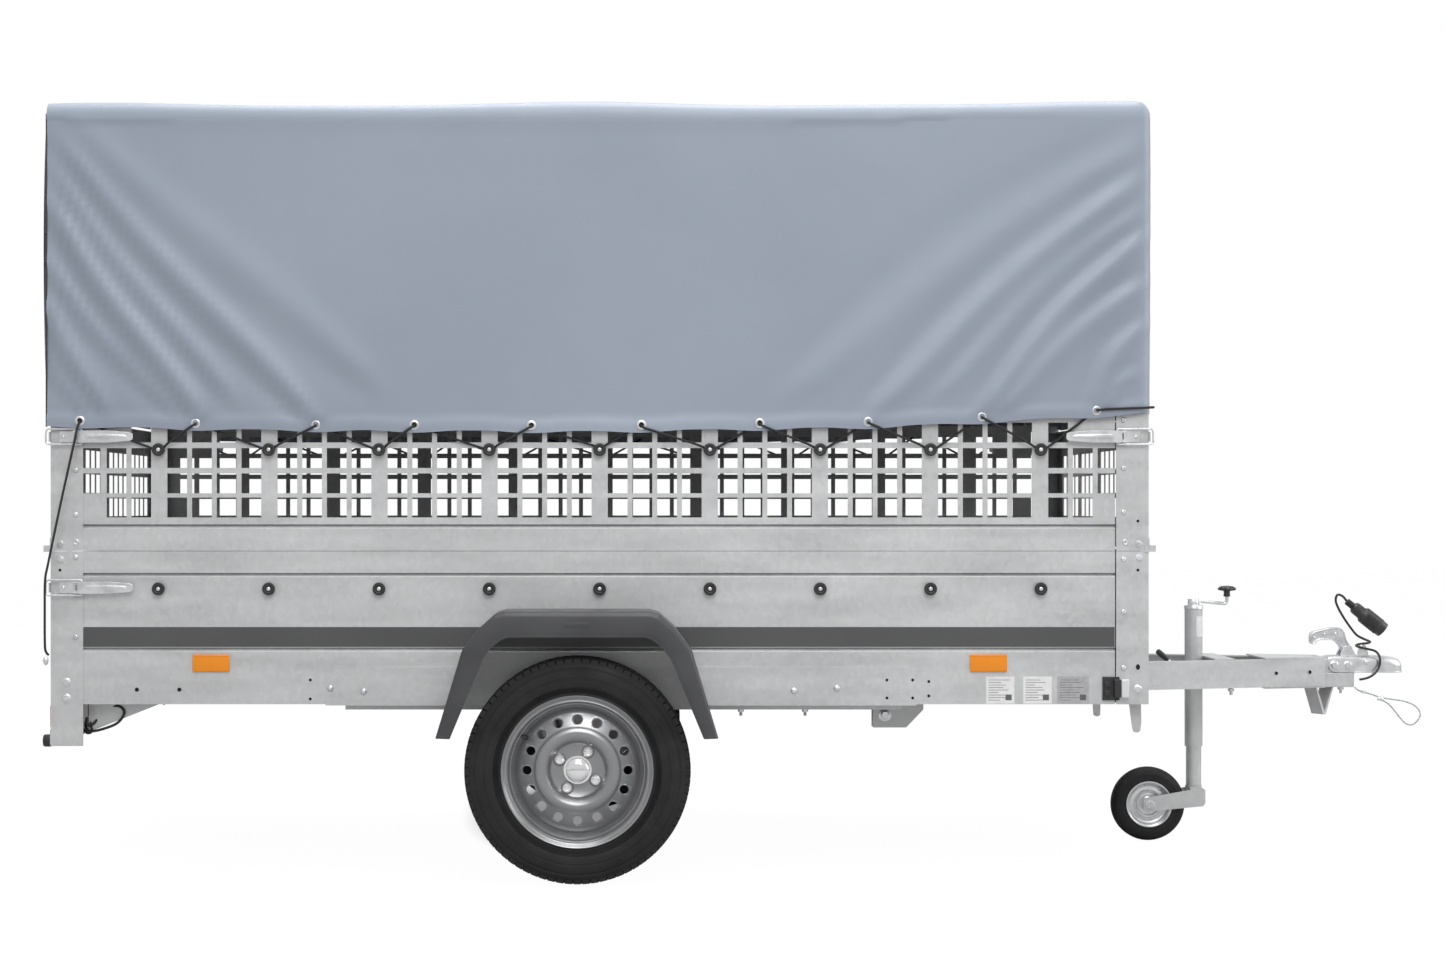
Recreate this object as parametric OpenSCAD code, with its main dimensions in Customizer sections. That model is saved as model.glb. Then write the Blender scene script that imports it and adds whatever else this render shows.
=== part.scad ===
/* [Body] */
// Outer length of the boarded body
body_length = 2708; // [2600:1:2900]
// Outer width over the corner posts
body_width = 1300; // [1250:1:1400]
// Height of the underside of the sills
sill_bottom = 422; // [410:1:440]
// Height of a sill
sill_height = 70; // [65:1:75]
// Height of the lower boards above the sills
lower_board_height = 308; // [300:1:320]
// Height of the lattice boards
lattice_board_height = 350; // [340:1:360]
// Width of a corner post seen from the side
post_width = 80; // [75:1:85]
// Sheet thickness of boards and posts
sheet = 3; // [2:0.5:4]

/* [Lattice] */
// Distance between the wide upright bars
bay_pitch = 271.7; // [265:0.1:280]
// Width of a wide upright bar
wide_bar = 40; // [36:1:44]
// Width of a narrow bar
thin_bar = 12.3; // [10:0.1:15]
// Openings between two wide bars
bay_openings = 4; // [3:1:5]

/* [Running gear] */
// Outer diameter of a tyre
tyre_diameter = 547; // [540:1:560]
// Width of a tyre
tyre_width = 155; // [145:1:165]
// Distance between the tyres' centre planes
track = 1494; // [1480:2:1510]
// Position of the wheel axis along the trailer
wheel_x = -452.5; // [-480:0.5:-430]

/* [Drawbar and coupling] */
// Height of a drawbar rail
rail_height = 74; // [70:1:78]
// Position of the jockey wheel's tube
jockey_x = 1210.5; // [1180:0.5:1240]
// Diameter of the jockey wheel
jockey_wheel_diameter = 200; // [190:1:205]
// Position of the coupling ball's centre
ball_x = 1733.5; // [1725:0.5:1740]
// Radius of the ball socket
socket_radius = 25.2; // [25:0.05:25.5]

/* [Cover] */
// Height of the roof of the cover
cover_top = 1912; // [1850:1:2000]
// Thickness of the cover's panels
cover_sheet = 4; // [3:1:6]

/* [Hidden] */
$fn = 48;

half_width = body_width / 2;
rear_x = -1755;
front_x = rear_x + body_length;
body_mid_x = (rear_x + front_x) / 2;
rear_board_x = rear_x + post_width - 3;
front_board_x = front_x - post_width - 2;
sill_top = sill_bottom + sill_height;
board_top = sill_top + lower_board_height;
lattice_top = board_top + lattice_board_height;
skin_y = half_width - sheet;
floor_z = 499;
floor_thickness = 12;
wheel_z = tyre_diameter / 2;
wheel_y = track / 2;
arm_x = wheel_x + 150;
arm_z = 370;
gate_hinge_offset = 9;
tail_hinge_z = 484;
gate_hinge_z = 806;
gate_thickness = 28;
tail_latch_z = 710;
gate_latch_z = 1082;
rail_bottom = 424;

galvanised = [0.72, 0.73, 0.74];
zinc = [0.82, 0.83, 0.84];
black = [0.08, 0.08, 0.08];
rubber_grey = [0.2, 0.2, 0.21];
tarp_grey = [0.59, 0.62, 0.68];
rim_silver = [0.68, 0.69, 0.71];
amber = [0.95, 0.55, 0.05];

// A profile drawn in (Y, Z), pushed from x0 to x1
module along_x(x0, x1) {
    translate([x0, 0, 0]) rotate([90, 0, 90]) linear_extrude(x1 - x0) children();
}

// A profile drawn in (X, Z), pushed from y0 to y1
module across_y(y0, y1) {
    translate([0, y1, 0]) rotate([90, 0, 0]) linear_extrude(y1 - y0) children();
}

// A block between two corners
module block(low, high) {
    translate(low) cube(high - low);
}

// The child once on the right-hand side and once mirrored to the left
module both_sides() {
    children();
    mirror([0, 1, 0]) children();
}

// A round bar along Y between y0 and y1 at (x, z)
module bar_y(x, z, r, y0, y1) {
    translate([x, y0, z]) rotate([-90, 0, 0]) cylinder(r = r, h = y1 - y0);
}

// A round bar along Z
module bar_z(x, y, r, z0, z1) {
    translate([x, y, z0]) cylinder(r = r, h = z1 - z0);
}

// A round-headed bolt head standing outwards on the right-hand side face at y
module head(x, z, r, y, h = 4) {
    bar_y(x, z, r, y - h, y);
}

// ---- chassis ----

module sills() color(galvanised) both_sides()
    along_x(rear_board_x + 0.5, front_board_x - 0.5) polygon([
        [-skin_y, sill_bottom], [-skin_y + 35, sill_bottom], [-skin_y + 35, sill_bottom + sheet],
        [-skin_y + sheet, sill_bottom + sheet], [-skin_y + sheet, sill_top - sheet],
        [-skin_y + 35, sill_top - sheet], [-skin_y + 35, sill_top], [-skin_y, sill_top]]);

// The drawbar rails run in a V from the axle area to the coupling
rail_end_x = 1554;
rail_start = [362, 400];
rail_tip = [1642.5, 35];
rail_angle = atan2(rail_start[1] - rail_tip[1], rail_tip[0] - rail_start[0]);
rail_flange = 30;

module drawbar_rail(extra = 0) {
    length = (rail_end_x - rail_start[0]) / cos(rail_angle);
    translate([rail_start[0], -rail_start[1], rail_bottom]) rotate([0, 0, rail_angle])
        difference() {
            translate([0, -extra, -extra])
                cube([length, rail_flange + 2 * extra, rail_height + 2 * extra]);
            if (extra == 0)
                translate([-1, sheet, sheet]) cube([length + 2, rail_flange, rail_height - 2 * sheet]);
        }
}

module drawbar_rail_right() color(galvanised) drawbar_rail();
module drawbar_rail_left() color(galvanised) mirror([0, 1, 0]) drawbar_rail();

cross_member_x = [-1700, -1200, -700, -150, 380, 860];

module cross_members() color(galvanised) difference() {
    for (x = cross_member_x) difference() {
        block([x, -skin_y + sheet + 0.5, sill_bottom + sheet + 0.5],
            [x + 40, skin_y - sheet - 0.5, sill_top - sheet - 0.5]);
        block([x + sheet, -skin_y, sill_bottom + 2 * sheet],
            [x + 40 - sheet, skin_y, sill_top - 2 * sheet]);
    }
    both_sides() drawbar_rail(1);
}

module under_rail() {
    block([-1034, -600, 405], [350, -570, 420]);
}

module chassis_brackets() color(galvanised) {
    both_sides() {
        under_rail();
        // reinforcement plate outside the sill, with chamfered upper corners
        across_y(-skin_y - sheet, -skin_y) polygon([[-1077, sill_bottom - 3], [380, sill_bottom - 3],
            [380, 505], [362, 514], [-1059, 514], [-1077, 505]]);
        // rail bracket under the floor
        across_y(-440, -434) polygon([[293, 346], [378, 346], [422, 392], [422, 418], [293, 418]]);
        across_y(-404, -401) polygon([[293, 346], [378, 346], [422, 392], [422, 418], [293, 418]]);
        block([352, -434.01, 346], [358, -403.99, 418]);
        bar_y(324, 378, 9, -434, -404);
        // gusset behind the rear post
        across_y(-600, -597) polygon([[-1672, 421], [-1490, 421], [-1672, 349]]);
        // hinge lugs and pin of the tailgate
        for (y = [-560, -440]) block([rear_x - 17, y - 4, 470], [cross_member_x[0], y + 4, 492]);
        bar_y(rear_x - gate_hinge_offset, tail_hinge_z, 4, -556, -444);
        // lugs and pins of the two lattice gates, on the corner posts
        for (end = [[rear_x, -1], [front_x, 1]]) {
            pin_x = end[0] + end[1] * gate_hinge_offset;
            block([min(pin_x + end[1] * 8, end[0] - end[1] * 10), -half_width - sheet, gate_hinge_z - 8],
                [max(pin_x + end[1] * 8, end[0] - end[1] * 10), -half_width, gate_hinge_z + 8]);
            bar_y(pin_x, gate_hinge_z, 4, -half_width - 1, -602);
        }
        // lashing tongues hanging below the front end
        across_y(-606, -600) polygon([[914, 421], [943, 421], [944, 372], [941, 352], [934, 348],
            [925, 350], [922, 362]]);
        across_y(-303, -297) polygon([[878, 421], [900, 421], [899, 366], [890, 362], [882, 366]]);
    }
    // rear and front end sheets of the chassis
    block([rear_x, -skin_y + 0.5, sill_bottom + 0.5], [rear_x + sheet, skin_y - 0.5, 481]);
    difference() {
        block([front_x - sheet, -skin_y + 0.5, sill_bottom + 0.5], [front_x, skin_y - 0.5, sill_top - 0.5]);
        both_sides() drawbar_rail(1);
    }
    // drawbar head: block, foot and two gusset plates between the rails
    block([1460, -31, 430], [1640, 31, 492]);
    block([1554.5, -37, 419.8], [1637, 37, 447.5]);
    for (z = [498.2, 419.8]) translate([0, 0, z]) linear_extrude(4)
        polygon([[1380, -105], [1554, -58], [1554, 58], [1380, 105]]);
    for (z = [492, 423.8]) block([1470, -20, z], [1540, 20, z + 6.2]);
    // cross bar and top plate that carry the jockey wheel's clamp
    block([1244, -136, 444], [1274, 136, 474]);
    block([1238, -128, 498.2], [1292, 128, 502.2]);
    // strap stand bent in a V below the drawbar
    translate([1552, 0, 0]) rotate([0, 0, 30]) across_y(-22, 22) polygon([[-34, 419.8], [-28, 419.8],
        [0, 352], [28, 419.8], [34, 419.8], [5, 344], [-5, 344]]);
}

module axle_beam() color(galvanised) {
    difference() {
        block([arm_x - 35, -600, arm_z - 35], [arm_x + 35, 600, arm_z + 35]);
        block([arm_x - 31, -601, arm_z - 31], [arm_x + 31, 601, arm_z + 31]);
    }
    both_sides() {
        // bearing block in the tube's end, with the swing arm's bore
        difference() {
            block([arm_x - 31, -600, arm_z - 31], [arm_x + 31, -540, arm_z + 31]);
            bar_y(arm_x, arm_z, 22.05, -601, -539);
        }
    }
}

module floor_panel() color([0.45, 0.33, 0.2])
    block([rear_x + 45, -skin_y + 30, floor_z], [front_x - 45, skin_y - 30, floor_z + floor_thickness]);

// ---- body ----

// One corner post: a side flange and a web that the gate closes against
module corner_post(rear, z0, z1) {
    x0 = rear ? rear_x : front_x - post_width;
    web_x = rear ? rear_x + 37 : front_x - 40;
    block([x0, -half_width, z0], [x0 + post_width, -skin_y, z1]);
    block([web_x, -skin_y - 0.01, z0], [web_x + sheet, -skin_y + 45, z1]);
}

module corner_posts() color(galvanised) both_sides() {
    corner_post(true, 319, board_top - 0.5);
    corner_post(true, board_top + 0.5, lattice_top);
    corner_post(false, sill_bottom, board_top - 0.5);
    corner_post(false, board_top + 0.5, lattice_top);
}

groove = 9;

// Skin of a board from z0 to z1 with grooves at the heights in zs: (depth from the face, height)
function skin_outline(z0, z1, zs) = concat(
    [[0, z0]], [for (z = zs) each [[0, z], [groove, z + groove], [0, z + groove + 1]]], [[0, z1]]);

module board_profile(z0, z1, zs) {
    outer = skin_outline(z0, z1, zs);
    inner = [for (p = outer) [p[0] + 2, p[1]]];
    polygon(concat(outer, [for (i = [len(inner) - 1:-1:0]) inner[i]]));
    translate([0, z0]) square([24, 2]);
    translate([0, z1 - 2]) square([24, 2]);
}

module side_boards() color(galvanised) both_sides()
    along_x(rear_board_x + 0.5, front_board_x - 0.5) translate([-skin_y, 0])
        board_profile(sill_top, board_top - 0.5, [sill_top + 60, sill_top + 244]);

module front_board() color(galvanised) difference() {
    across_y(-skin_y + 0.5, skin_y - 0.5) translate([front_x - 9, 0]) mirror([1, 0])
        board_profile(sill_top, board_top - 0.5, [sill_top + 60, sill_top + 244]);
    both_sides() drawbar_rail(1);
}

lattice_rows = [883, 942.6, 1005, 1068];
opening_height = 49;
opening_width = (bay_pitch - wide_bar - (bay_openings - 1) * thin_bar) / bay_openings;
opening_step = opening_width + thin_bar;
bays = 8;

// Openings of the side lattice; the corners next to the posts stay solid
module side_openings() {
    for (row = [0:3]) {
        z = lattice_rows[row];
        for (bay = [0:bays - 1], i = [0:bay_openings - 1])
            translate([body_mid_x + (bay - bays / 2) * bay_pitch + wide_bar / 2 + i * opening_step, z])
                square([opening_width, opening_height]);
        reach = row == 3 ? 0 : row == 0 ? 1 : 2;
        for (i = [0:reach], s = [-1, 1])
            translate([body_mid_x + s * (bays / 2 * bay_pitch + wide_bar / 2 + opening_width / 2
                + i * opening_step) - opening_width / 2, z])
                square([opening_width - (i == 2 ? 3 : 0), opening_height]);
    }
}

module side_lattices() color(galvanised) both_sides() {
    across_y(-skin_y, -skin_y + 2) difference() {
        translate([rear_board_x + 0.5, 880]) square([front_board_x - rear_board_x - 1, lattice_top - 880]);
        side_openings();
    }
    along_x(rear_board_x + 0.5, front_board_x - 0.5) translate([-skin_y, 0])
        board_profile(board_top + 0.5, 880, [board_top + 56]);
    block([rear_board_x + 0.5, -skin_y, lattice_top - 2], [front_board_x - 0.5, -skin_y + 24, lattice_top]);
}

end_rows = [883, 945.9, 1008.8];
end_bays = 4;
end_pitch = 290;

// An end gate with a lattice, in (Y, Z)
module end_lattice_sheet() difference() {
    translate([-skin_y + 1, board_top + 6]) square([2 * skin_y - 2, 1128 - board_top - 6]);
    for (z = end_rows, bay = [0:end_bays - 1], i = [0:3])
        translate([(bay - end_bays / 2) * end_pitch + wide_bar / 2 + i * (49.75 + thin_bar + 1), z])
            square([49.75 + 1, opening_height]);
}

module gate_frame(z0, z1) {
    // folded edges give the gate its depth
    for (z = [z0, z1 - 2]) block([0, -skin_y + 1, z], [gate_thickness, skin_y - 1, z + 2]);
    for (y = [-skin_y + 1, skin_y - 3]) block([0, y, z0], [gate_thickness, y + 2, z1]);
}

// Hinge barrel with two leaves, axis along Y
module barrel(x, z, y0, y1, leaf_x, leaf_z) {
    difference() {
        union() {
            bar_y(x, z, 8, y0, y1);
            block([min(x, leaf_x), y0, z - 2], [max(x, leaf_x), y1, z + 2]);
            block([leaf_x - 1.5, y0, z - 2], [leaf_x + 1.5, y1, leaf_z]);
        }
        bar_y(x, z, 4.05, y0 - 1, y1 + 1);
    }
}

// Catch that a latch's bail hooks behind, with its tip just inside the bail's bar
module catch(x, z, outward) {
    both_sides() {
        block([min(x, x + outward * 3.5), -half_width + 5.5, z - 12], [max(x, x + outward * 3.5), -skin_y + 30, z + 12]);
        block([min(x + outward * 0.5, x + outward * 3.5), -half_width - 6.5, z - 12],
            [max(x + outward * 0.5, x + outward * 3.5), -half_width + 5.6, z + 12]);
    }
}

module tailgate() color(galvanised) {
    translate([rear_x, 0, 0]) {
        across_y(-skin_y + 3, skin_y - 3)
            board_profile(sill_top + 6, board_top - 7, [sill_top + 60, sill_top + 244]);
        gate_frame(sill_top + 6, board_top - 7);
    }
    both_sides() barrel(rear_x - gate_hinge_offset, tail_hinge_z, -555, -445, rear_x - 1.5, sill_top + 30);
    catch(rear_x, tail_latch_z, -1);
}

module rear_lattice_gate() color(galvanised) {
    translate([rear_x, 0, 0]) {
        along_x(0, 2) end_lattice_sheet();
        gate_frame(board_top + 6, 1128);
    }
    both_sides() barrel(rear_x - gate_hinge_offset, gate_hinge_z, -646, -606,
        rear_x - 1.5, gate_hinge_z + 26);
    catch(rear_x, gate_latch_z, -1);
}

module front_lattice_gate() color(galvanised) {
    translate([front_x - gate_thickness, 0, 0]) {
        along_x(gate_thickness - 2, gate_thickness) end_lattice_sheet();
        gate_frame(board_top + 6, 1128);
    }
    both_sides() barrel(front_x + gate_hinge_offset, gate_hinge_z, -646, -606,
        front_x + 1.5, gate_hinge_z + 26);
    catch(front_x, gate_latch_z, 1);
}

module board_knobs() color(black) both_sides()
    for (k = [0:bays]) {
        x = body_mid_x + (k - bays / 2) * bay_pitch;
        for (z = [1050, 707]) {
            bar_y(x, z, 12, -skin_y - 10, -skin_y);
            bar_y(x, z, 16, -skin_y - 16, -skin_y - 6);
        }
    }

module fasteners() color(zinc) {
    both_sides() {
        // screws down the corner posts
        for (z = [1000, 890, 822, 785, 588]) head(rear_x + post_width - 17, z, 6, -half_width);
        for (z = [1123, 1005, 896, 822, 780, 650, 512]) head(front_x - post_width + 22, z, 6, -half_width);
        for (z = [817, 780]) {
            head(rear_x + 24, z, 9, -half_width, 6);
            head(front_x - 24, z, 9, -half_width, 6);
        }
        for (z = [477, 438]) head(rear_x + 39, z, 10, -half_width, 6);
        // bolts through the reinforcement plates
        for (x = [-1071, -989]) head(x + 6, 458, 8, -skin_y - sheet, 5);
        for (x = [78, 184]) head(x, 458, 8, -skin_y - sheet, 5);
        // bolts hanging below the under rails
        for (x = [-50, 110]) bar_z(x, -585, 6, 390, 405);
        head(324, 378, 16, -440, 8);
        // bolts hanging below the drawbar
        bar_z(1284, -120, 6, 402, 424);
    }
    bar_z(1612, 0, 7, 404, 419.8);
    both_sides() {
        // bolts through the drawbar's rails behind the coupling
        for (x = [1584, 1621]) bar_y(x, 478, 11, -45, -37.01);
    }
}

module fenders() color(rubber_grey) both_sides() translate([wheel_x, 0, 0]) {
    across_y(-860, -666) polygon([
        [-338, 357], [-274, 569], [-232, 621], [-197, 652], [-175, 659], [175, 659], [197, 652],
        [232, 621], [274, 569], [338, 357], [332, 355], [268, 567], [227, 616], [193, 647],
        [174, 654], [-174, 654], [-193, 647], [-227, 616], [-268, 567], [-332, 355]]);
    // outer lip
    across_y(-860, -855) polygon([
        [-336, 357], [-273, 568], [-231, 620], [-197, 651], [-175, 658], [175, 658], [197, 651],
        [231, 620], [273, 568], [336, 357], [303, 355], [224, 546], [166, 598], [-166, 598],
        [-224, 546], [-303, 355]]);
    // inner wall that is screwed to the body
    across_y(-669, -666) polygon([
        [-273, 568], [-231, 620], [-197, 651], [-175, 658], [175, 658], [197, 651],
        [231, 620], [273, 568], [224, 546], [166, 598], [-166, 598], [-224, 546]]);
    for (x = [-150, 150]) block([x - 20, -667, 600], [x + 20, -skin_y - 3.01, 604]);
}

// ---- cover ----

cover_y = half_width + 9;
cover_x0 = rear_x - 7;
cover_x1 = front_x + 7;
cover_hem = 1104;
end_hem = 1136;
cover_round = 50;

module tarp_cover() color(tarp_grey) {
    both_sides() block([cover_x0 + cover_sheet + 1, -cover_y - cover_sheet, cover_hem],
        [cover_x1 - cover_sheet - 1, -cover_y, cover_top - cover_round]);
    // roof with bevelled long edges
    along_x(cover_x0, cover_x1) polygon([
        [-cover_y - cover_sheet, cover_top - cover_round + 1], [-cover_y - 2, cover_top - 18],
        [-cover_y + 18, cover_top], [cover_y - 18, cover_top], [cover_y + 2, cover_top - 18],
        [cover_y + cover_sheet, cover_top - cover_round + 1], [cover_y - 4, cover_top - cover_round + 1],
        [cover_y - 24, cover_top - 10], [-cover_y + 24, cover_top - 10],
        [-cover_y + 4, cover_top - cover_round + 1]]);
    for (x = [cover_x0, cover_x1 - cover_sheet])
        block([x, -cover_y - cover_sheet, end_hem], [x + cover_sheet, cover_y + cover_sheet,
            cover_top - cover_round]);
}

hoop_x = [rear_x + 100, body_mid_x, front_x - 100];

module tarp_hoops() color(zinc) {
    for (x = hoop_x) {
        both_sides() bar_z(x, -632, 10, lattice_top, cover_top - 26);
        bar_y(x, cover_top - 24, 10, -628, 628);
    }
    for (y = [-500, 0, 500]) block([hoop_x[0] + 10, y - 10, cover_top - 32],
        [hoop_x[2] - 10, y + 10, cover_top - 16]);
}

// A tube swept along points: rings across the path's direction, closed at both ends
function unit(v) = v / norm(v);
function tangent(p, i) = unit(p[min(i + 1, len(p) - 1)] - p[max(i - 1, 0)]);
function side_vector(t) = unit(cross(t, abs(t[2]) > 0.9 ? [1, 0, 0] : [0, 0, 1]));
function ring(p, i, r, n, s) = let (t = tangent(p, i), u = unit(s - t * (s * t)), v = cross(t, u))
    [for (k = [0:n - 1]) p[i] + r * (u * cos(360 * k / n) + v * sin(360 * k / n))];
function carried(p, i, s) = i == 0 ? s : let (b = carried(p, i - 1, s), t = tangent(p, i)) unit(b - t * (b * t));

module swept_tube(p, r, n) {
    s = side_vector(tangent(p, 0));
    m = len(p);
    rings = [for (i = [0:m - 1]) each ring(p, i, r, n, carried(p, i, s))];
    sides = [for (i = [0:m - 2], k = [0:n - 1]) let (a = i * n + k, b = i * n + (k + 1) % n)
        [a, a + n, b + n, b]];
    polyhedron(rings, concat([[for (k = [0:n - 1]) k]], sides,
        [[for (k = [n - 1:-1:0]) (m - 1) * n + k]]));
}

// Points of a smooth curve through p, with steps between each two
function smooth(p, steps) = [for (i = [0:len(p) - 2], j = [0:steps - 1])
    let (t = j / steps, a = p[max(i - 1, 0)], b = p[i], c = p[i + 1], d = p[min(i + 2, len(p) - 1)])
    0.5 * (2 * b + (c - a) * t + (2 * a - 5 * b + 4 * c - d) * t * t
        + (3 * b - a - 3 * c + d) * t * t * t), p[len(p) - 1]];

// A straight round bar between two points
module rod(a, b, r) {
    d = b - a;
    translate(a) rotate([0, acos(d[2] / norm(d)), atan2(d[1], d[0])])
        cylinder(r = r, h = norm(d), $fn = 12);
}

eyelet_x = [-1680, -1395, -1099, -857, -569, -298, -7, 260, 540, 822];
eyelet_z = [1124, 1112, 1108, 1108, 1111, 1115, 1118, 1125, 1135, 1150];
cord_r = 3;
cord_y = half_width + 18;
hidden_y = half_width + 3.3;
knob_top = 1070;

// The elastic cord runs from each eyelet down to a knob and behind the cover's hem
module lacing_cord() color(black) both_sides() {
    for (k = [1:8]) {
        knob = k < 5 ? k - 1 : k;
        x = body_mid_x + (knob - bays / 2) * bay_pitch;
        rod([eyelet_x[k], -cord_y, eyelet_z[k]], [x, -cord_y, knob_top], cord_r);
        rod([eyelet_x[k < 5 ? k - 1 : k + 1], -hidden_y, eyelet_z[k < 5 ? k - 1 : k + 1]],
            [x + (k < 5 ? -8 : 8), -hidden_y, knob_top], cord_r);
    }
    for (k = [4, 5])
        rod([eyelet_x[k], -hidden_y, eyelet_z[k]], [body_mid_x + (k == 4 ? -8 : 8), -hidden_y, knob_top], cord_r);
    rod([eyelet_x[9], -cord_y, eyelet_z[9]], [front_x + 4, -cord_y, 1150], cord_r);
    rod([eyelet_x[0], -cord_y - 12, eyelet_z[0]], [rear_x - 4, -cord_y - 22, 741], cord_r);
    rod([rear_x - 4, -cord_y - 22, 737], [rear_x - 4, -cord_y - 22, 545], cord_r);
}

// ---- lights ----

module side_reflectors() color(amber) both_sides()
    for (x = [-1359.5, 558]) block([x - 45.5, -skin_y - 6, 503], [x + 45.5, -skin_y, 545]);

module marker_lamps() color(black) both_sides() {
    block([front_x - 114, -half_width - 3, 432], [front_x - post_width - 0.5, -skin_y - 0.01, 490]);
    block([front_x - post_width - 0.51, -half_width - 3, 432], [front_x - 72, -half_width, 490]);
    block([front_x - 72, -half_width - 20, 438], [front_x - 50, -half_width, 486]);
}

module rear_lamp_beam() color(galvanised) {
    block([rear_x - 3, -skin_y + 46, 322], [rear_x, skin_y - 46, 422]);
    both_sides() {
        block([rear_x - 3, -skin_y + 1, 322], [rear_x, -skin_y + 45.5, 360]);
        block([rear_x - 23.5, -642, 315], [rear_x - 3.01, -596, 345]);
    }
}

module rear_lamps() color([0.6, 0.05, 0.05]) both_sides()
    block([rear_x - 22, -560, 352], [rear_x - 3.01, -340, 416]);

// ---- latches ----

latch_pin = 17;
latch_y = half_width + 9;
bail_r = 2.5;

// Built for the rear right-hand corner: the bail reaches to -X, the lever's handle to +X
module latch_base(x, z) {
    block([x - 40, -half_width - 3, z - 14], [x + 26, -half_width, z + 14]);
    for (dz = [-14, 11]) block([x - 6, -half_width - 15, z + dz], [x + 6, -half_width - 2, z + dz + 3]);
    bar_z(x, -latch_y, 2.5, z - 14, z + 14);
}

module latch_lever(x, z) {
    difference() {
        union() {
            for (dz = [-10.5, 7.5]) block([x - 3.5, -latch_y - 5, z + dz], [x + 30, -latch_y + 4.5, z + dz + 3]);
            translate([0, 0, z]) translate([0, -latch_y - 5, 0]) rotate([90, 0, 0]) linear_extrude(2.5)
                polygon([[x + 7, -15], [x + 80, -15], [x + 140, -10], [x + 144, -6], [x + 144, 6],
                    [x + 140, 10], [x + 80, 15], [x + 7, 15]]);
        }
        bar_z(x, -latch_y, 2.6, z - 30, z + 30);
    }
}

module latch_bail(x, z, reach) {
    y = -latch_y - 0.5;
    for (dz = [-19, 19]) bar_x(x - reach, x + latch_pin, y, z + dz, bail_r);
    bar_z(x - reach, y, bail_r, z - 21.5, z + 21.5);
    bar_z(x + latch_pin, y, bail_r, z + 11, z + 21.5);
    bar_z(x + latch_pin, y, bail_r, z - 21.5, z - 11);
}

module bar_x(x0, x1, y, z, r) {
    translate([x0, y, z]) rotate([0, 90, 0]) cylinder(r = r, h = x1 - x0);
}

rear_latch_x = rear_x + 62;
bail_reach = 71.5;

module at_front() {
    translate([2 * body_mid_x, 0, 0]) mirror([1, 0, 0]) children();
}

module latch_bases() color(zinc) both_sides() {
    latch_base(rear_latch_x, tail_latch_z);
    latch_base(rear_latch_x, gate_latch_z);
    at_front() latch_base(rear_latch_x, gate_latch_z);
}

module lever_tail_right() color(zinc) latch_lever(rear_latch_x, tail_latch_z);
module lever_tail_left() color(zinc) mirror([0, 1, 0]) latch_lever(rear_latch_x, tail_latch_z);
module lever_rear_right() color(zinc) latch_lever(rear_latch_x, gate_latch_z);
module lever_rear_left() color(zinc) mirror([0, 1, 0]) latch_lever(rear_latch_x, gate_latch_z);
module lever_front_right() color(zinc) at_front() latch_lever(rear_latch_x, gate_latch_z);
module lever_front_left() color(zinc) mirror([0, 1, 0]) at_front() latch_lever(rear_latch_x, gate_latch_z);
module bail_tail_right() color(zinc) latch_bail(rear_latch_x, tail_latch_z, bail_reach);
module bail_tail_left() color(zinc) mirror([0, 1, 0]) latch_bail(rear_latch_x, tail_latch_z, bail_reach);
module bail_rear_right() color(zinc) latch_bail(rear_latch_x, gate_latch_z, bail_reach);
module bail_rear_left() color(zinc) mirror([0, 1, 0]) latch_bail(rear_latch_x, gate_latch_z, bail_reach);
module bail_front_right() color(zinc) at_front() latch_bail(rear_latch_x, gate_latch_z, bail_reach);
module bail_front_left() color(zinc) mirror([0, 1, 0]) at_front()
    latch_bail(rear_latch_x, gate_latch_z, bail_reach);

// ---- running gear ----

// Wheel parts are drawn with +Z outwards and then turned to their side
module on_right() {
    translate([wheel_x, -wheel_y, wheel_z]) rotate([90, 0, 0]) children();
}

module on_left() {
    mirror([0, 1, 0]) on_right() children();
}

tyre_outline = [[170, -62], [184, -72], [215, -77.5], [240, -77], [262, -69], [271, -56],
    [tyre_diameter / 2, -20], [tyre_diameter / 2, 20], [271, 56], [262, 69], [240, 77], [215, 77.5],
    [184, 72], [170, 62]];
tyre_hollow = [[170, -50], [186, -60], [216, -68], [240, -67], [256, -60], [262, -40], [262, 40],
    [256, 60], [240, 67], [216, 68], [186, 60], [170, 50]];

module tyre() {
    rotate_extrude() difference() {
        polygon(tyre_outline);
        polygon(tyre_hollow);
        translate([160, -50]) square([11, 100]);
    }
}

rim_bolts = 4;
rim_holes = 16;

module rim() {
    difference() {
        union() {
            // barrel with its two flanges
            rotate_extrude() polygon([[169.5, -49.5], [169.5, -62.5], [183, -73], [183, -75], [166, -66],
                [166, -50], [150, -40], [150, 24], [166, 44], [166, 66], [183, 75], [183, 73],
                [169.5, 62.5], [169.5, 47], [153.5, 26], [153.5, -40]]);
            // dished disc
            rotate_extrude() polygon([[29, 22], [68, 22], [80, 30], [100, 34], [132, 34], [146, 20],
                [151, 5], [151, 12], [148, 24], [134, 37], [99, 37], [78, 33], [66, 25.5], [29, 25.5]]);
        }
        for (k = [0:rim_holes - 1]) rotate(k * 360 / rim_holes)
            translate([121.5, 0, 20]) cylinder(r = 10.8, h = 30);
        for (k = [0:rim_bolts - 1]) rotate(45 + k * 90)
            translate([50, 0, 10]) cylinder(r = 6.5, h = 30);
    }
}

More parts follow.
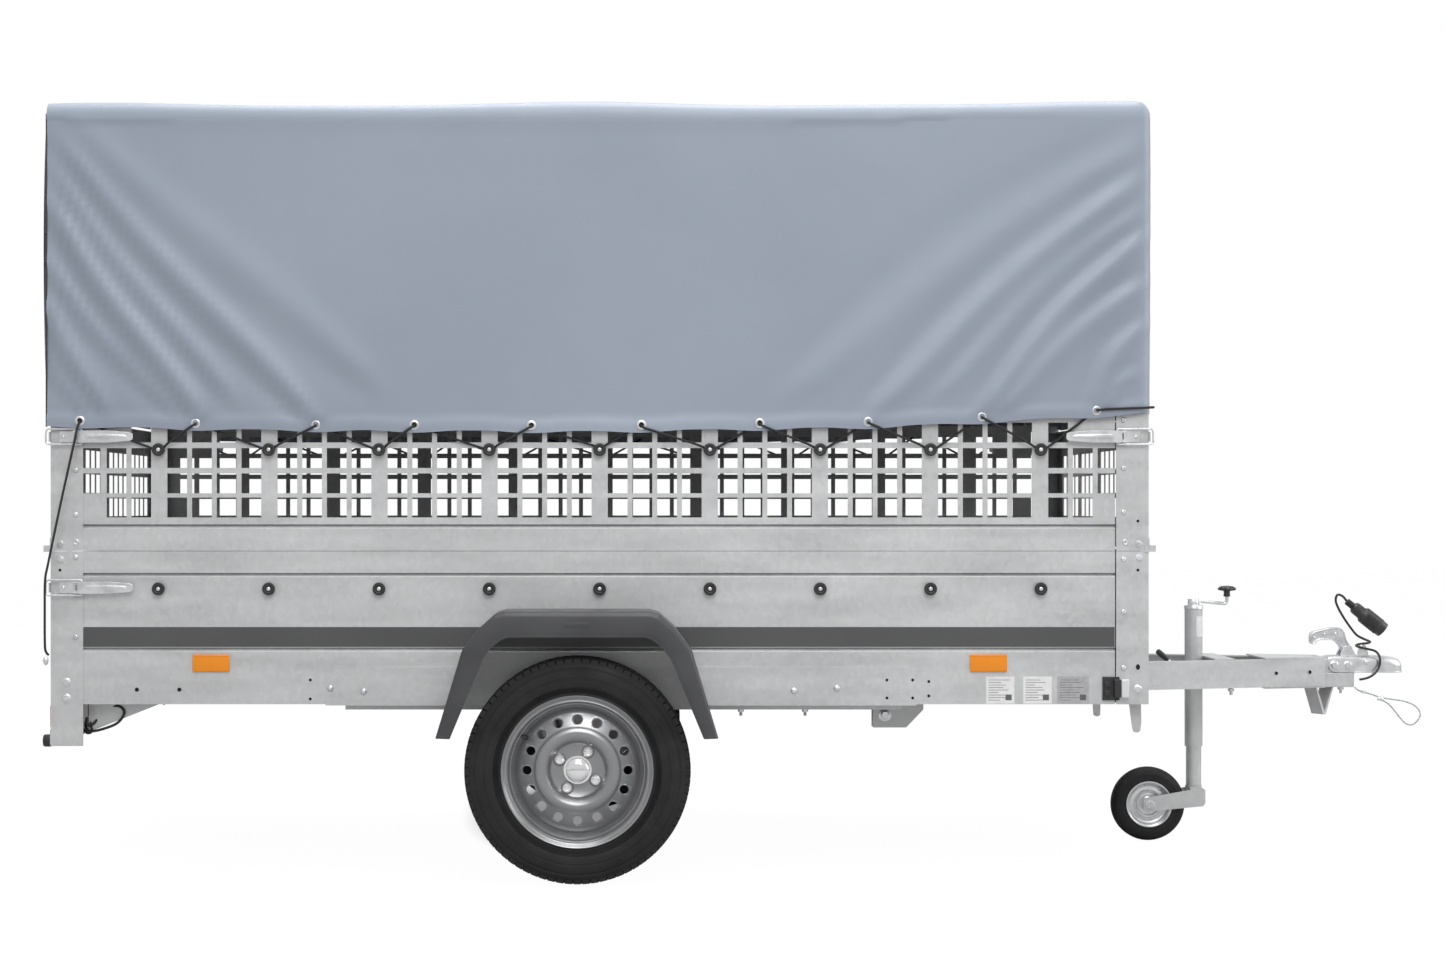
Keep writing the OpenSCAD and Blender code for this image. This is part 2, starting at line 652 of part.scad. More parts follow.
module hub() {
    difference() {
        union() {
            translate([0, 0, 14]) cylinder(r = 65, h = 8);
            translate([0, 0, -45]) cylinder(r = 45, h = 59);
            translate([0, 0, 22]) cylinder(r = 28.5, h = 24);
            translate([0, 0, 46]) cylinder(r1 = 28.5, r2 = 24, h = 5);
            for (k = [0:rim_bolts - 1]) rotate(45 + k * 90) {
                translate([50, 0, 22]) cylinder(r = 6, h = 3.5);
                translate([50, 0, 25.5]) cylinder(r = 10, h = 6);
                translate([50, 0, 31.5]) cylinder(r = 9.8, h = 10, $fn = 6);
            }
        }
        translate([0, 0, -46]) cylinder(r = 15.05, h = 76);
    }
}

module tyre_right() color(black) on_right() tyre();
module tyre_left() color(black) on_left() tyre();
module rim_right() color(rim_silver) on_right() rim();
module rim_left() color(rim_silver) on_left() rim();
module hub_right() color(zinc) on_right() hub();
module hub_left() color(zinc) on_left() hub();

module swing_arm() {
    hull() {
        bar_y(arm_x, arm_z, 34, -636, -606);
        bar_y(wheel_x, wheel_z, 34, -636, -606);
    }
    bar_y(arm_x, arm_z, 22, -606, -545);
    bar_y(wheel_x, wheel_z, 15, -wheel_y - 28, -636);
    bar_y(wheel_x, wheel_z, 24, -wheel_y + 47, -636);
}

module swing_arm_right() color(galvanised) swing_arm();
module swing_arm_left() color(galvanised) mirror([0, 1, 0]) swing_arm();

// ---- jockey wheel ----

module jockey_clamp() color(galvanised) {
    difference() {
        union() {
            bar_z(jockey_x, 0, 32, 436, 482);
            block([jockey_x, -26, 436], [1244, 26, 482]);
            block([jockey_x - 46, -10, 440], [jockey_x, 10, 478]);
        }
        bar_z(jockey_x, 0, 24.1, 430, 490);
        block([jockey_x - 50, -2, 430], [jockey_x, 2, 490]);
        bar_y(jockey_x - 40, 459, 6.05, -11, 11);
    }
}

module clamp_handle() color(zinc) {
    bar_y(jockey_x - 40, 459, 6, -51, 12);
    bar_y(jockey_x - 40, 459, 9, -20, -12);
    translate([jockey_x - 40, -44, 459]) rotate([0, -49, 0]) {
        cylinder(r = 4.5, h = 60);
        translate([0, 0, 52]) cylinder(r = 8, h = 40);
    }
}

module jockey_outer_tube() color(galvanised) difference() {
    bar_z(jockey_x, 0, 24, 257, 630);
    bar_z(jockey_x, 0, 21, 250, 640);
    block([jockey_x + 10, -6, 250], [jockey_x + 30, 6, 330]);
}

module jockey_spindle() color(zinc) {
    bar_z(jockey_x, 0, 26, 630.3, 640);
    bar_z(jockey_x, 0, 8, 300, 630.5);
    block([jockey_x - 12, -9, 640], [jockey_x + 100, 9, 646]);
    bar_z(jockey_x + 91, 0, 4, 646, 664);
}

module crank_knob() color(black) {
    bar_z(jockey_x + 91, 0, 9, 664, 680);
    bar_z(jockey_x + 91, 0, 26, 680, 694);
}

module jockey_inner_tube() color(galvanised) difference() {
    bar_z(jockey_x, 0, 20.5, 150, 540);
    bar_z(jockey_x, 0, 17.5, 155, 525);
    bar_z(jockey_x, 0, 8.3, 520, 545);
    bar_z(jockey_x, 0, 10.1, 140, 160);
}

jockey_axle_x = jockey_x - 126;
jockey_z = jockey_wheel_diameter / 2;

module jockey_fork() color(galvanised) {
    bar_z(jockey_x, 0, 10, 149.5, 165);
    bar_z(jockey_x, 0, 22, 118, 149.6);
    both_sides() {
        across_y(-37, -33) polygon([[jockey_axle_x - 18, jockey_z - 12], [jockey_axle_x - 10, jockey_z - 19],
            [jockey_x + 18, 96], [jockey_x + 24, 104], [jockey_x + 24, 140], [jockey_x + 16, 146],
            [jockey_axle_x - 10, jockey_z + 19], [jockey_axle_x - 18, jockey_z + 12]]);
        block([jockey_x - 16, -33.01, 120], [jockey_x + 16, -15, 145]);
        bar_y(jockey_axle_x, jockey_z, 9, -42, -37);
    }
    bar_y(jockey_axle_x, jockey_z, 6, -37, 37);
}

module jockey_wheel_place() {
    translate([jockey_axle_x, 0, jockey_z]) rotate([90, 0, 0]) children();
}

module jockey_tyre() color(black) jockey_wheel_place() rotate_extrude()
    polygon([[62.3, -25], [85, -25], [95, -20], [jockey_wheel_diameter / 2, -8],
        [jockey_wheel_diameter / 2, 8], [95, 20], [85, 25], [62.3, 25]]);

module jockey_rim() color(rim_silver) jockey_wheel_place() difference() {
    rotate_extrude() polygon([[6.1, -30], [16, -30], [16, -8], [54, -5], [58, -24], [62.3, -26],
        [62.3, 26], [58, 24], [54, 5], [16, 8], [16, 30], [6.1, 30]]);
}

// ---- coupling ----

lever_pivot = [1630, 520];
jaw_pivot = [1704, 476];

module coupling_body() color(zinc) difference() {
    union() {
        // shank over the drawbar head, with the cheeks cut for the lever
        across_y(-37, 37) polygon([[1556, 448], [1556, 500], [1590, 506], [1650, 506], [1690, 505],
            [1750, 503], [1772, 490], [1778, 470], [1776, 452], [1640.5, 448]]);
        across_y(-8, 8) polygon([[1660, 500], [1663, 532], [1680, 532], [1686, 500]]);
        for (y = [-22, 16]) across_y(y, y + 6)
            polygon([[1608, 500], [1618, 528], [1636, 528], [1648, 500]]);
    }
    // space for the drawbar head
    block([1550, -31.3, 429], [1641, 31.3, 492.5]);
    // ball socket, open below, and room for the jaw behind it
    bar_z(ball_x, 0, socket_radius, 440, 480);
    block([1690, -12, 440], [1720, 12, 486]);
    bar_y(lever_pivot[0], lever_pivot[1], 5.05, -30, 30);
    bar_y(jaw_pivot[0], jaw_pivot[1], 4, -20, 20);
}

module coupling_lever() color(zinc) {
    bar_y(lever_pivot[0], lever_pivot[1], 5, -22, 22);
    across_y(-15.5, 15.5) polygon([[1634, 510], [1640, 520], [1634, 531], [1624, 547], [1618, 570],
        [1606, 580], [1590, 581], [1536, 568], [1529, 560], [1529, 541], [1535, 535], [1541, 539],
        [1545, 549], [1586, 548], [1600, 540], [1612, 525], [1620, 510]]);
}

module coupling_jaw() color(zinc)
    difference() {
        across_y(-11, 11) polygon([[1700, 452], [1706, 452], [1706, 470], [1708, 478], [1700, 482], [1696, 474]]);
        bar_y(jaw_pivot[0], jaw_pivot[1], 0.1, -20, 20);
    }

// ---- cables ----

// Points of the supply cable, from the drawbar's end to the plug
supply_route = [[1648, -52, 441], [1670, -54, 446], [1690, -52, 458], [1704, -46, 478], [1706, -43, 500],
    [1698, -34, 516], [1680, -24, 522], [1665, -19, 525], [1656, -8, 528], [1656, 6, 530],
    [1663, 17, 532], [1674, 19, 534], [1687, 12, 536], [1692, 0, 539], [1686, -14, 543],
    [1670, -23, 549], [1648, -30, 560], [1630, -34, 580], [1612, -34, 606], [1596, -34, 634],
    [1589, -34, 655], [1594, -34, 670], [1608, -34, 666], [1618, -34, 654]];
supply_r = 3.2;

module supply_cable() color(black) swept_tube(smooth(supply_route, 3), supply_r, 8);

plug_start = [1618, -34, 653];
plug_end = [1717, -34, 574];

module supply_plug() color(black) {
    d = plug_end - plug_start;
    translate(plug_start) rotate([0, acos(d[2] / norm(d)), 0]) {
        translate([0, 0, 0.5]) cylinder(r1 = 7, r2 = 11, h = 22);
        translate([0, 0, 22.5]) cylinder(r = 17, h = 34);
        translate([0, 0, 56.5]) cylinder(r = 23, h = 58);
        translate([0, 0, 114.5]) cylinder(r = 21, h = 12);
    }
}

safety_route = [[1636, -46, 420], [1648, -47, 411], [1664, -48, 406], [1684, -48, 400], [1704, -48, 393],
    [1732, -48, 388], [1766, -49, 383], [1792, -51, 374], [1808, -53, 360], [1812, -54, 345],
    [1804, -54, 329], [1790, -53, 319], [1774, -52, 322], [1758, -52, 338], [1742, -52, 358],
    [1728, -52, 374], [1712, -53, 384]];
safety_r = 2;

module safety_cable() color(zinc) {
    swept_tube(smooth(safety_route, 3), safety_r, 8);
}

sills();
cross_members();
chassis_brackets();
drawbar_rail_left();
drawbar_rail_right();
axle_beam();
floor_panel();
corner_posts();
side_boards();
front_board();
side_lattices();
board_knobs();
fasteners();
fenders();
tarp_cover();
tarp_hoops();
lacing_cord();
latch_bases();
side_reflectors();
marker_lamps();
rear_lamp_beam();
rear_lamps();
jockey_clamp();
coupling_body();
supply_cable();
supply_plug();
safety_cable();
tailgate();
rear_lattice_gate();
front_lattice_gate();
swing_arm_left();
swing_arm_right();
tyre_left();
tyre_right();
rim_left();
rim_right();
hub_left();
hub_right();
clamp_handle();
jockey_outer_tube();
jockey_spindle();
crank_knob();
jockey_inner_tube();
jockey_fork();
jockey_tyre();
jockey_rim();
coupling_lever();
coupling_jaw();
lever_tail_left();
lever_tail_right();
lever_rear_left();
lever_rear_right();
lever_front_left();
lever_front_right();
bail_tail_left();
bail_tail_right();
bail_rear_left();
bail_rear_right();
bail_front_left();
bail_front_right();
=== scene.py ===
"""The looks of a single-axle box trailer: boarded body, lattice boards, laced cover and drawbar."""
import math

import bmesh
import bpy
import numpy as np
from mathutils import Matrix, Vector


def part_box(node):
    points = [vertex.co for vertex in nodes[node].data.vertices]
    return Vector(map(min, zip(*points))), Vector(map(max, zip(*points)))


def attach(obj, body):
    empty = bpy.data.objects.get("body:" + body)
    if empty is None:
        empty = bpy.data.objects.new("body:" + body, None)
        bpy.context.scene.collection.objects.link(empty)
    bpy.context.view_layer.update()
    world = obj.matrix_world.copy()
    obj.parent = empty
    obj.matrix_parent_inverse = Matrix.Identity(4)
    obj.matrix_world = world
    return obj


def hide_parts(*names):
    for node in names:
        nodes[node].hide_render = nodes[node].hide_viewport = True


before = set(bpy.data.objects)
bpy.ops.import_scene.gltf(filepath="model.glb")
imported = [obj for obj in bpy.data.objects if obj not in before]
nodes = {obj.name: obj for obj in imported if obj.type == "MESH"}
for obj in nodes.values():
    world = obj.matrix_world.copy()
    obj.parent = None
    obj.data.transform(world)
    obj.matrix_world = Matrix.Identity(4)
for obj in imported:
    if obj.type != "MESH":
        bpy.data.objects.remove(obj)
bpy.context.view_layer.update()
scene = bpy.context.scene
scene.view_settings.view_transform = "Standard"


# ---- Camera, floor and light ----
# The trailer is seen squarely from its right-hand side, at a person's chest height, on a pale
# studio floor under large soft lights.
camera_data = bpy.data.cameras.new("camera")
camera_data.lens = 61.45
camera_data.sensor_width = 36
camera_data.shift_x = 0.0599
camera_data.shift_y = 0.0170
camera = bpy.data.objects.new("camera", camera_data)
camera.location = (-0.3115, -6.733, 0.911)
camera.rotation_euler = (math.radians(90), 0, 0)
scene.collection.objects.link(camera)
scene.camera = camera


def soft_light(name, place, aim, size, watts):
    """A square area light at place that faces aim."""
    data = bpy.data.lights.new(name, "AREA")
    data.shape = "SQUARE"
    data.size = size
    data.energy = watts
    lamp = bpy.data.objects.new(name, data)
    lamp.location = place
    lamp.rotation_euler = (Vector(aim) - Vector(place)).to_track_quat("-Z", "Y").to_euler()
    scene.collection.objects.link(lamp)


soft_light("key_light", (0.2, -6.0, 5.5), (0, 0, 0.8), 4.0, 230)
soft_light("top_light", (0.0, 0.0, 6.0), (0, 0, 0.8), 5.0, 330)
soft_light("fill_light", (6.5, -1.0, 3.0), (0, 0, 0.8), 4.0, 120)
soft_light("back_light", (-4.5, 5.0, 3.0), (0, 0, 0.8), 4.0, 120)

# the backdrop is lit white behind the trailer, and gives the trailer itself a softer light
world = bpy.data.worlds.new("studio")
world.use_nodes = True
sky = world.node_tree
sky.nodes["Background"].inputs["Strength"].default_value = 0.42
sky.nodes["Background"].inputs["Color"].default_value = (1, 1, 1, 1)
backdrop = sky.nodes.new("ShaderNodeBackground")
backdrop.inputs["Color"].default_value = (1, 1, 1, 1)
seen, choice = sky.nodes.new("ShaderNodeLightPath"), sky.nodes.new("ShaderNodeMixShader")
half, either = sky.nodes.new("ShaderNodeMath"), sky.nodes.new("ShaderNodeMath")
half.operation, either.operation = "MULTIPLY", "MAXIMUM"
half.inputs[1].default_value = 0.5
sky.links.new(seen.outputs["Is Glossy Ray"], half.inputs[0])
sky.links.new(half.outputs[0], either.inputs[0])
sky.links.new(seen.outputs["Is Camera Ray"], either.inputs[1])
sky.links.new(either.outputs[0], choice.inputs[0])
sky.links.new(sky.nodes["Background"].outputs[0], choice.inputs[1])
sky.links.new(backdrop.outputs[0], choice.inputs[2])
sky.links.new(choice.outputs[0], sky.nodes["World Output"].inputs["Surface"])
scene.world = world


# ---- Materials' common parts ----
# Each finish is a Principled shader with its colour, roughness and bump varied by noise that is
# fixed to the piece, at the scale of the real surface.
class Finish:
    """A material under construction: a Principled shader and short ways to drive its sockets."""

    def __init__(self, name, colour, roughness, metallic=0.0, **sockets):
        self.material = bpy.data.materials.new(name)
        self.material.use_nodes = True
        self.tree = self.material.node_tree
        self.shader = self.tree.nodes["Principled BSDF"]
        self.shader.inputs["Base Color"].default_value = (*colour, 1)
        self.shader.inputs["Roughness"].default_value = roughness
        self.shader.inputs["Metallic"].default_value = metallic
        for socket, value in sockets.items():
            self.shader.inputs[socket.replace("_", " ")].default_value = value
        self.place = self.tree.nodes.new("ShaderNodeTexCoord").outputs["Object"]

    def node(self, kind, **settings):
        made = self.tree.nodes.new("ShaderNode" + kind)
        for key, value in settings.items():
            setattr(made, key, value)
        return made

    def link(self, output, target):
        self.tree.links.new(output, target)

    def mapped(self, scale):
        mapping = self.node("Mapping")
        mapping.inputs["Scale"].default_value = scale
        self.link(self.place, mapping.inputs["Vector"])
        return mapping.outputs["Vector"]

    def noise(self, scale, detail=3.0, stretch=(1, 1, 1)):
        made = self.node("TexNoise")
        made.inputs["Scale"].default_value = scale
        made.inputs["Detail"].default_value = detail
        self.link(self.mapped(stretch), made.inputs["Vector"])
        return made.outputs["Fac"]

    def spread(self, value, low, high, start=0.3, end=0.7):
        made = self.node("MapRange")
        for socket, number in zip(("From Min", "From Max", "To Min", "To Max"), (start, end, low, high)):
            made.inputs[socket].default_value = number
        self.link(value, made.inputs["Value"])
        return made.outputs["Result"]

    def colours(self, value, *stops):
        ramp = self.node("ValToRGB")
        ramp.color_ramp.elements[0].position = stops[0][0]
        ramp.color_ramp.elements[1].position = stops[-1][0]
        for position, colour in stops[1:-1]:
            ramp.color_ramp.elements.new(position)
        for element, (position, colour) in zip(ramp.color_ramp.elements, stops):
            element.color = (*colour, 1)
        self.link(value, ramp.inputs["Fac"])
        self.link(ramp.outputs["Color"], self.shader.inputs["Base Color"])
        return ramp.outputs["Color"]

    def bump(self, value, strength, depth):
        made = self.node("Bump")
        made.inputs["Strength"].default_value = strength
        made.inputs["Distance"].default_value = depth
        self.link(value, made.inputs["Height"])
        if self.shader.inputs["Normal"].is_linked:
            self.link(self.shader.inputs["Normal"].links[0].from_socket, made.inputs["Normal"])
        self.link(made.outputs["Normal"], self.shader.inputs["Normal"])

    def roughness(self, value, low, high):
        self.link(self.spread(value, low, high), self.shader.inputs["Roughness"])


floor_finish = Finish("studio_floor", (0.5, 0.5, 0.5), 0.8)
glow = floor_finish.node("Emission")
view_share, floor_mix = floor_finish.node("Math", operation="MULTIPLY"), floor_finish.node("MixShader")
# the floor stays pale in view, but for a soft dark patch painted behind the near wheel, so that
# the rim's holes look into shade
behind = floor_finish.node("TexGradient", gradient_type="SPHERICAL")
over = floor_finish.node("Mapping")
over.inputs["Scale"].default_value = (1 / 0.31, 1 / 1.1, 1)
over.inputs["Location"].default_value = (0.52 / 0.31, -0.72 / 1.1, 0)
floor_finish.link(floor_finish.place, over.inputs["Vector"])
floor_finish.link(over.outputs["Vector"], behind.inputs["Vector"])
floor_finish.link(floor_finish.spread(behind.outputs["Fac"], 0.93, 0.25, 0.0, 0.5), view_share.inputs[1])
floor_finish.link(floor_finish.spread(behind.outputs["Fac"], 0.5, 0.03, 0.0, 0.5),
                  floor_finish.shader.inputs["Base Color"])
floor_finish.link(floor_finish.node("LightPath").outputs["Is Camera Ray"], view_share.inputs[0])
floor_finish.link(view_share.outputs["Value"], floor_mix.inputs[0])
floor_finish.link(floor_finish.shader.outputs["BSDF"], floor_mix.inputs[1])
floor_finish.link(glow.outputs["Emission"], floor_mix.inputs[2])
floor_finish.link(floor_mix.outputs["Shader"], floor_finish.tree.nodes["Material Output"].inputs["Surface"])
glow.inputs["Strength"].default_value = 1.05
bpy.ops.mesh.primitive_plane_add(size=60, location=(0, 0, 0))
floor = bpy.context.object
floor.name = "studio_floor"
floor.data.materials.append(floor_finish.material)


# ---- Supply cable and plug ----
# A 6.4 mm black PVC cable leaves the drawbar's end, winds round the coupling's neck and rises to
# its 13-pin plug, which leans on the neck. It is stiff enough to stand up in its arch.
plastic = Finish("black_plastic", (0.03, 0.03, 0.032), 0.38)
plastic.bump(plastic.noise(900, 2), 0.25, 0.0004)
plastic.roughness(plastic.noise(40), 0.3, 0.48)
jacket = Finish("cable_jacket", (0.016, 0.016, 0.017), 0.42)
jacket.bump(jacket.noise(300, 2), 0.15, 0.0004)
jacket.roughness(jacket.noise(60), 0.34, 0.52)

supply_route = [
    (1648, -52, 441), (1670, -54, 446), (1690, -52, 458), (1704, -46, 478), (1706, -43, 500),
    (1698, -34, 516), (1680, -24, 522), (1665, -19, 525), (1656, -8, 528), (1656, 6, 530),
    (1663, 17, 532), (1674, 19, 534), (1687, 12, 536), (1692, 0, 539), (1686, -14, 543),
    (1670, -23, 549), (1648, -30, 560), (1630, -34, 580), (1612, -34, 606), (1596, -34, 634),
    (1589, -34, 655), (1594, -34, 670), (1608, -34, 666), (1618, -34, 654)]


# Every piece is a mesh whose place is in its points. It rides on a body of the frame.
def piece(name, points, faces, finish, body, slot, smooth=35, replaces=()):
    """A mesh piece in place, with faces smoothed below an angle in degrees."""
    mesh = bpy.data.meshes.new(name)
    mesh.from_pydata([tuple(p) for p in points], [], [tuple(f) for f in faces])
    obj = bpy.data.objects.new(name, mesh)
    scene.collection.objects.link(obj)
    return settle(obj, finish, body, smooth, replaces)


def settle(obj, finish, body, smooth=35, replaces=()):
    """Cleans a mesh, turns its faces outwards, gives it its finish and puts it on its body."""
    work = bmesh.new()
    work.from_mesh(obj.data)
    bmesh.ops.remove_doubles(work, verts=work.verts, dist=1e-5)
    bmesh.ops.recalc_face_normals(work, faces=work.faces)
    work.to_mesh(obj.data)
    work.free()
    if finish is not None:
        obj.data.materials.clear()
        obj.data.materials.append(finish.material)
    if smooth:
        obj.data.shade_smooth()
        obj.data.set_sharp_from_angle(angle=math.radians(smooth))
    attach(obj, body)
    if replaces:
        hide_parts(*replaces)
    return obj


def smooth_path(route, steps, scale=0.001):
    """Points of a smooth curve through a route, with steps between each two of its points."""
    p = [Vector(point) * scale for point in route]
    path = []
    for i in range(len(p) - 1):
        a, b, c, d = p[max(i - 1, 0)], p[i], p[i + 1], p[min(i + 2, len(p) - 1)]
        for j in range(steps):
            t = j / steps
            path.append(0.5 * (2 * b + (c - a) * t + (2 * a - 5 * b + 4 * c - d) * t * t
                               + (3 * b - a - 3 * c + d) * t ** 3))
    return path + [p[-1]]


def tube_shape(path, radius, sides=12, closed_ends=True):
    """Points and faces of a round tube along a path. radius is a number or a function of 0..1."""
    points, faces = [], []
    across = None
    count = len(path)
    for i, p in enumerate(path):
        along = (path[min(i + 1, count - 1)] - path[max(i - 1, 0)]).normalized()
        if across is None:
            across = along.cross(Vector((0, 0, 1)) if abs(along.z) < 0.9 else Vector((1, 0, 0)))
        across = (across - along * along.dot(across)).normalized()
        other = along.cross(across)
        r = radius(i / (count - 1)) if callable(radius) else radius
        for k in range(sides):
            angle = 2 * math.pi * k / sides
            points.append(p + r * (across * math.cos(angle) + other * math.sin(angle)))
    for i in range(count - 1):
        for k in range(sides):
            a, b = i * sides + k, i * sides + (k + 1) % sides
            faces.append((a, b, b + sides, a + sides))
    if closed_ends:
        faces.append(tuple(range(sides))[::-1])
        faces.append(tuple((count - 1) * sides + k for k in range(sides)))
    return points, faces


def along_axis(start, end):
    """A turn and place that put a part drawn along +Z on the line from start to end."""
    direction = (Vector(end) - Vector(start)).normalized()
    return Matrix.Translation(Vector(start)) @ direction.to_track_quat("Z", "Y").to_matrix().to_4x4()


def lathe(outline, turn=None, place=(0, 0, 0), steps=48):
    """Points and faces of an outline of (radius, height), turned about Z, then turned and placed."""
    turn = turn or Matrix.Identity(4)
    points = []
    for k in range(steps):
        angle = 2 * math.pi * k / steps
        for r, h in outline:
            points.append(turn @ Vector((r * math.cos(angle), r * math.sin(angle), h)) + Vector(place))
    n = len(outline)
    faces = []
    for k in range(steps):
        a, b = k * n, (k + 1) % steps * n
        faces += [(a + i, b + i, b + i + 1, a + i + 1) for i in range(n - 1)]
    return points, faces


def joined(*shapes):
    """Several (points, faces) shapes as one."""
    points, faces = [], []
    for more_points, more_faces in shapes:
        start = len(points)
        points += list(more_points)
        faces += [tuple(start + i for i in f) for f in more_faces]
    return points, faces


def moved(shape, matrix):
    """A shape's points moved by a matrix."""
    return [matrix @ Vector(p) for p in shape[0]], shape[1]


def ribs(radius, depth, start, count, pitch):
    """Outline points of a row of square ribs on a turned part."""
    row = []
    for k in range(count):
        z = start + k * pitch
        row += [(radius - depth, z), (radius, z + 0.0002), (radius, z + pitch * 0.5),
                (radius - depth, z + pitch * 0.52)]
    return row


supply_path = smooth_path(supply_route, 8)
supply_cable = piece("supply_cable_run", *tube_shape(supply_path, 0.0032), jacket, "chassis", "cable_jacket",
                     smooth=60, replaces=("supply_cable",))
plug_outline = ([(0.0, 0.0006), (0.0068, 0.0006)] + ribs(0.0095, 0.0022, 0.002, 6, 0.0034)
                + [(0.012, 0.024), (0.0155, 0.027), (0.0168, 0.034), (0.0168, 0.052), (0.0195, 0.056),
                   (0.0225, 0.060), (0.0228, 0.066)] + ribs(0.0228, 0.0012, 0.068, 9, 0.004)
                + [(0.0228, 0.106), (0.0228, 0.112), (0.0212, 0.115), (0.021, 0.126), (0.0195, 0.1265),
                   (0.0185, 0.121), (0.0, 0.121)])
plug_place = along_axis((1.618, -0.034, 0.653), (1.717, -0.034, 0.574))
plug = piece("plug_body", *moved(lathe(plug_outline), plug_place), plastic, "chassis", "black_plastic",
             replaces=("supply_plug",))
pins = joined(*(moved(lathe([(0, 0.119), (0.0013, 0.119), (0.0013, 0.1245), (0, 0.125)], steps=8),
                      plug_place @ Matrix.Translation((r * math.cos(a), r * math.sin(a), 0)))
                for r, count in ((0.0125, 9), (0.0055, 4))
                for a in (2 * math.pi * k / count for k in range(count))))

# ---- Zinc-plated steel, and the breakaway cable ----
# Bright zinc plating on the small fittings: smooth, faintly streaked and glossy. The breakaway
# cable is stranded steel rope, pressed into ferrules and folded back into a loop.
zinc = Finish("zinc_plating", (0.74, 0.75, 0.76), 0.3, 0.85)
zinc.colours(zinc.spread(zinc.noise(35, 4), 0, 1), (0.0, (0.62, 0.63, 0.65)), (0.6, (0.76, 0.77, 0.78)),
             (1.0, (0.84, 0.85, 0.86)))
zinc.bump(zinc.noise(420, 3), 0.12, 0.0006)
zinc.roughness(zinc.noise(25, 4), 0.22, 0.42)
piece("plug_pins", *pins, zinc, "chassis", "zinc_plated_steel")

safety_route = [
    (1636, -46, 420), (1648, -47, 411), (1664, -48, 406), (1684, -48, 400), (1704, -48, 393),
    (1732, -48, 388), (1766, -49, 383), (1792, -51, 374), (1808, -53, 360), (1812, -54, 345),
    (1804, -54, 329), (1790, -53, 319), (1774, -52, 322), (1758, -52, 338), (1742, -52, 358),
    (1728, -52, 374), (1712, -53, 384)]
safety_path = smooth_path(safety_route, 8)
rope = Finish("steel_rope", (0.6, 0.61, 0.62), 0.38, 0.9)
rope_wave = rope.node("TexWave", bands_direction="DIAGONAL")
rope_wave.inputs["Scale"].default_value = 260
rope.link(rope.place, rope_wave.inputs["Vector"])
rope.bump(rope_wave.outputs["Fac"], 0.7, 0.0008)
# the colour darkens with the bump's grooves: painted shade between the strands
rope.colours(rope_wave.outputs["Fac"], (0.0, (0.3, 0.3, 0.31)), (1.0, (0.68, 0.69, 0.7)))
safety_cable = piece("breakaway_rope", *tube_shape(safety_path, 0.002, 10), rope, "chassis", "steel_rope",
                     smooth=60, replaces=("safety_cable",))
ferrule_outline = [(0, 0), (0.0031, 0.0), (0.0037, 0.0008), (0.0037, 0.0118), (0.0031, 0.0126), (0, 0.0126)]
ferrules = joined(
    moved(lathe(ferrule_outline, steps=24), along_axis((1.655, -0.0475, 0.4085), (1.668, -0.048, 0.405))),
    moved(lathe(ferrule_outline, steps=24), Matrix.Translation((0, 0, 0))
          @ along_axis((1.698, -0.0495, 0.3905),
                       (1.711, -0.0495, 0.387)) @ Matrix.Diagonal((1.0, 1.5, 1.2, 1))))
ferrule_piece = piece("rope_ferrules", *ferrules, zinc, "chassis", "zinc_plated_steel")


# ---- Galvanised sheet ----
# Hot-dip zinc on steel: a matt grey with crystals a centimetre or so across, soft rolling streaks
# and a little waviness, on every frame part, board, post and gate.
galvanised = Finish("galvanised_sheet", (0.55, 0.56, 0.57), 0.5, 0.55)
crystals = galvanised.node("TexVoronoi")
crystals.inputs["Scale"].default_value = 95
crystals.inputs["Randomness"].default_value = 1
galvanised.link(galvanised.mapped((1, 1, 0.8)), crystals.inputs["Vector"])
grey = galvanised.node("RGBToBW")
galvanised.link(crystals.outputs["Color"], grey.inputs["Color"])
streaks = galvanised.noise(9, 5, (0.35, 1, 2.2))
mixed = galvanised.node("Math", operation="MULTIPLY_ADD")
mixed.inputs[1].default_value = 0.35
galvanised.link(grey.outputs["Val"], mixed.inputs[0])
galvanised.link(galvanised.spread(streaks, 0.15, 0.65), mixed.inputs[2])
galvanised.colours(mixed.outputs["Value"], (0.1, (0.50, 0.505, 0.51)), (0.5, (0.565, 0.57, 0.575)),
                   (0.95, (0.65, 0.655, 0.66)))
galvanised.roughness(mixed.outputs["Value"], 0.42, 0.58)
galvanised.bump(galvanised.noise(260, 4), 0.12, 0.0008)
galvanised.bump(galvanised.noise(3.5, 2), 0.25, 0.004)


def finish_nodes(finish, *names):
    """Gives CAD nodes that stay visible their finish."""
    for name in names:
        data = nodes[name].data
        data.materials.clear()
        data.materials.append(finish.material)
        for polygon in data.polygons:
            polygon.material_index = 0


finish_nodes(galvanised, "sills", "cross_members", "chassis_brackets", "drawbar_rail_left",
             "drawbar_rail_right", "axle_beam", "corner_posts", "side_boards", "front_board",
             "side_lattices", "tailgate", "rear_lattice_gate", "front_lattice_gate", "swing_arm_left",
             "swing_arm_right", "jockey_clamp", "jockey_outer_tube", "jockey_inner_tube", "jockey_fork")
finish_nodes(zinc, "tarp_hoops", "coupling_jaw")

# ---- Floor panel ----
# Film-faced birch plywood, dark brown with a faint grain, laid on the cross members.
plywood = Finish("plywood_floor", (0.14, 0.085, 0.05), 0.55)
grain = plywood.noise(30, 5, (0.15, 1.5, 1))
plywood.colours(grain, (0.3, (0.09, 0.055, 0.035)), (0.7, (0.19, 0.12, 0.075)))
plywood.bump(grain, 0.2, 0.001)
finish_nodes(plywood, "floor_panel")

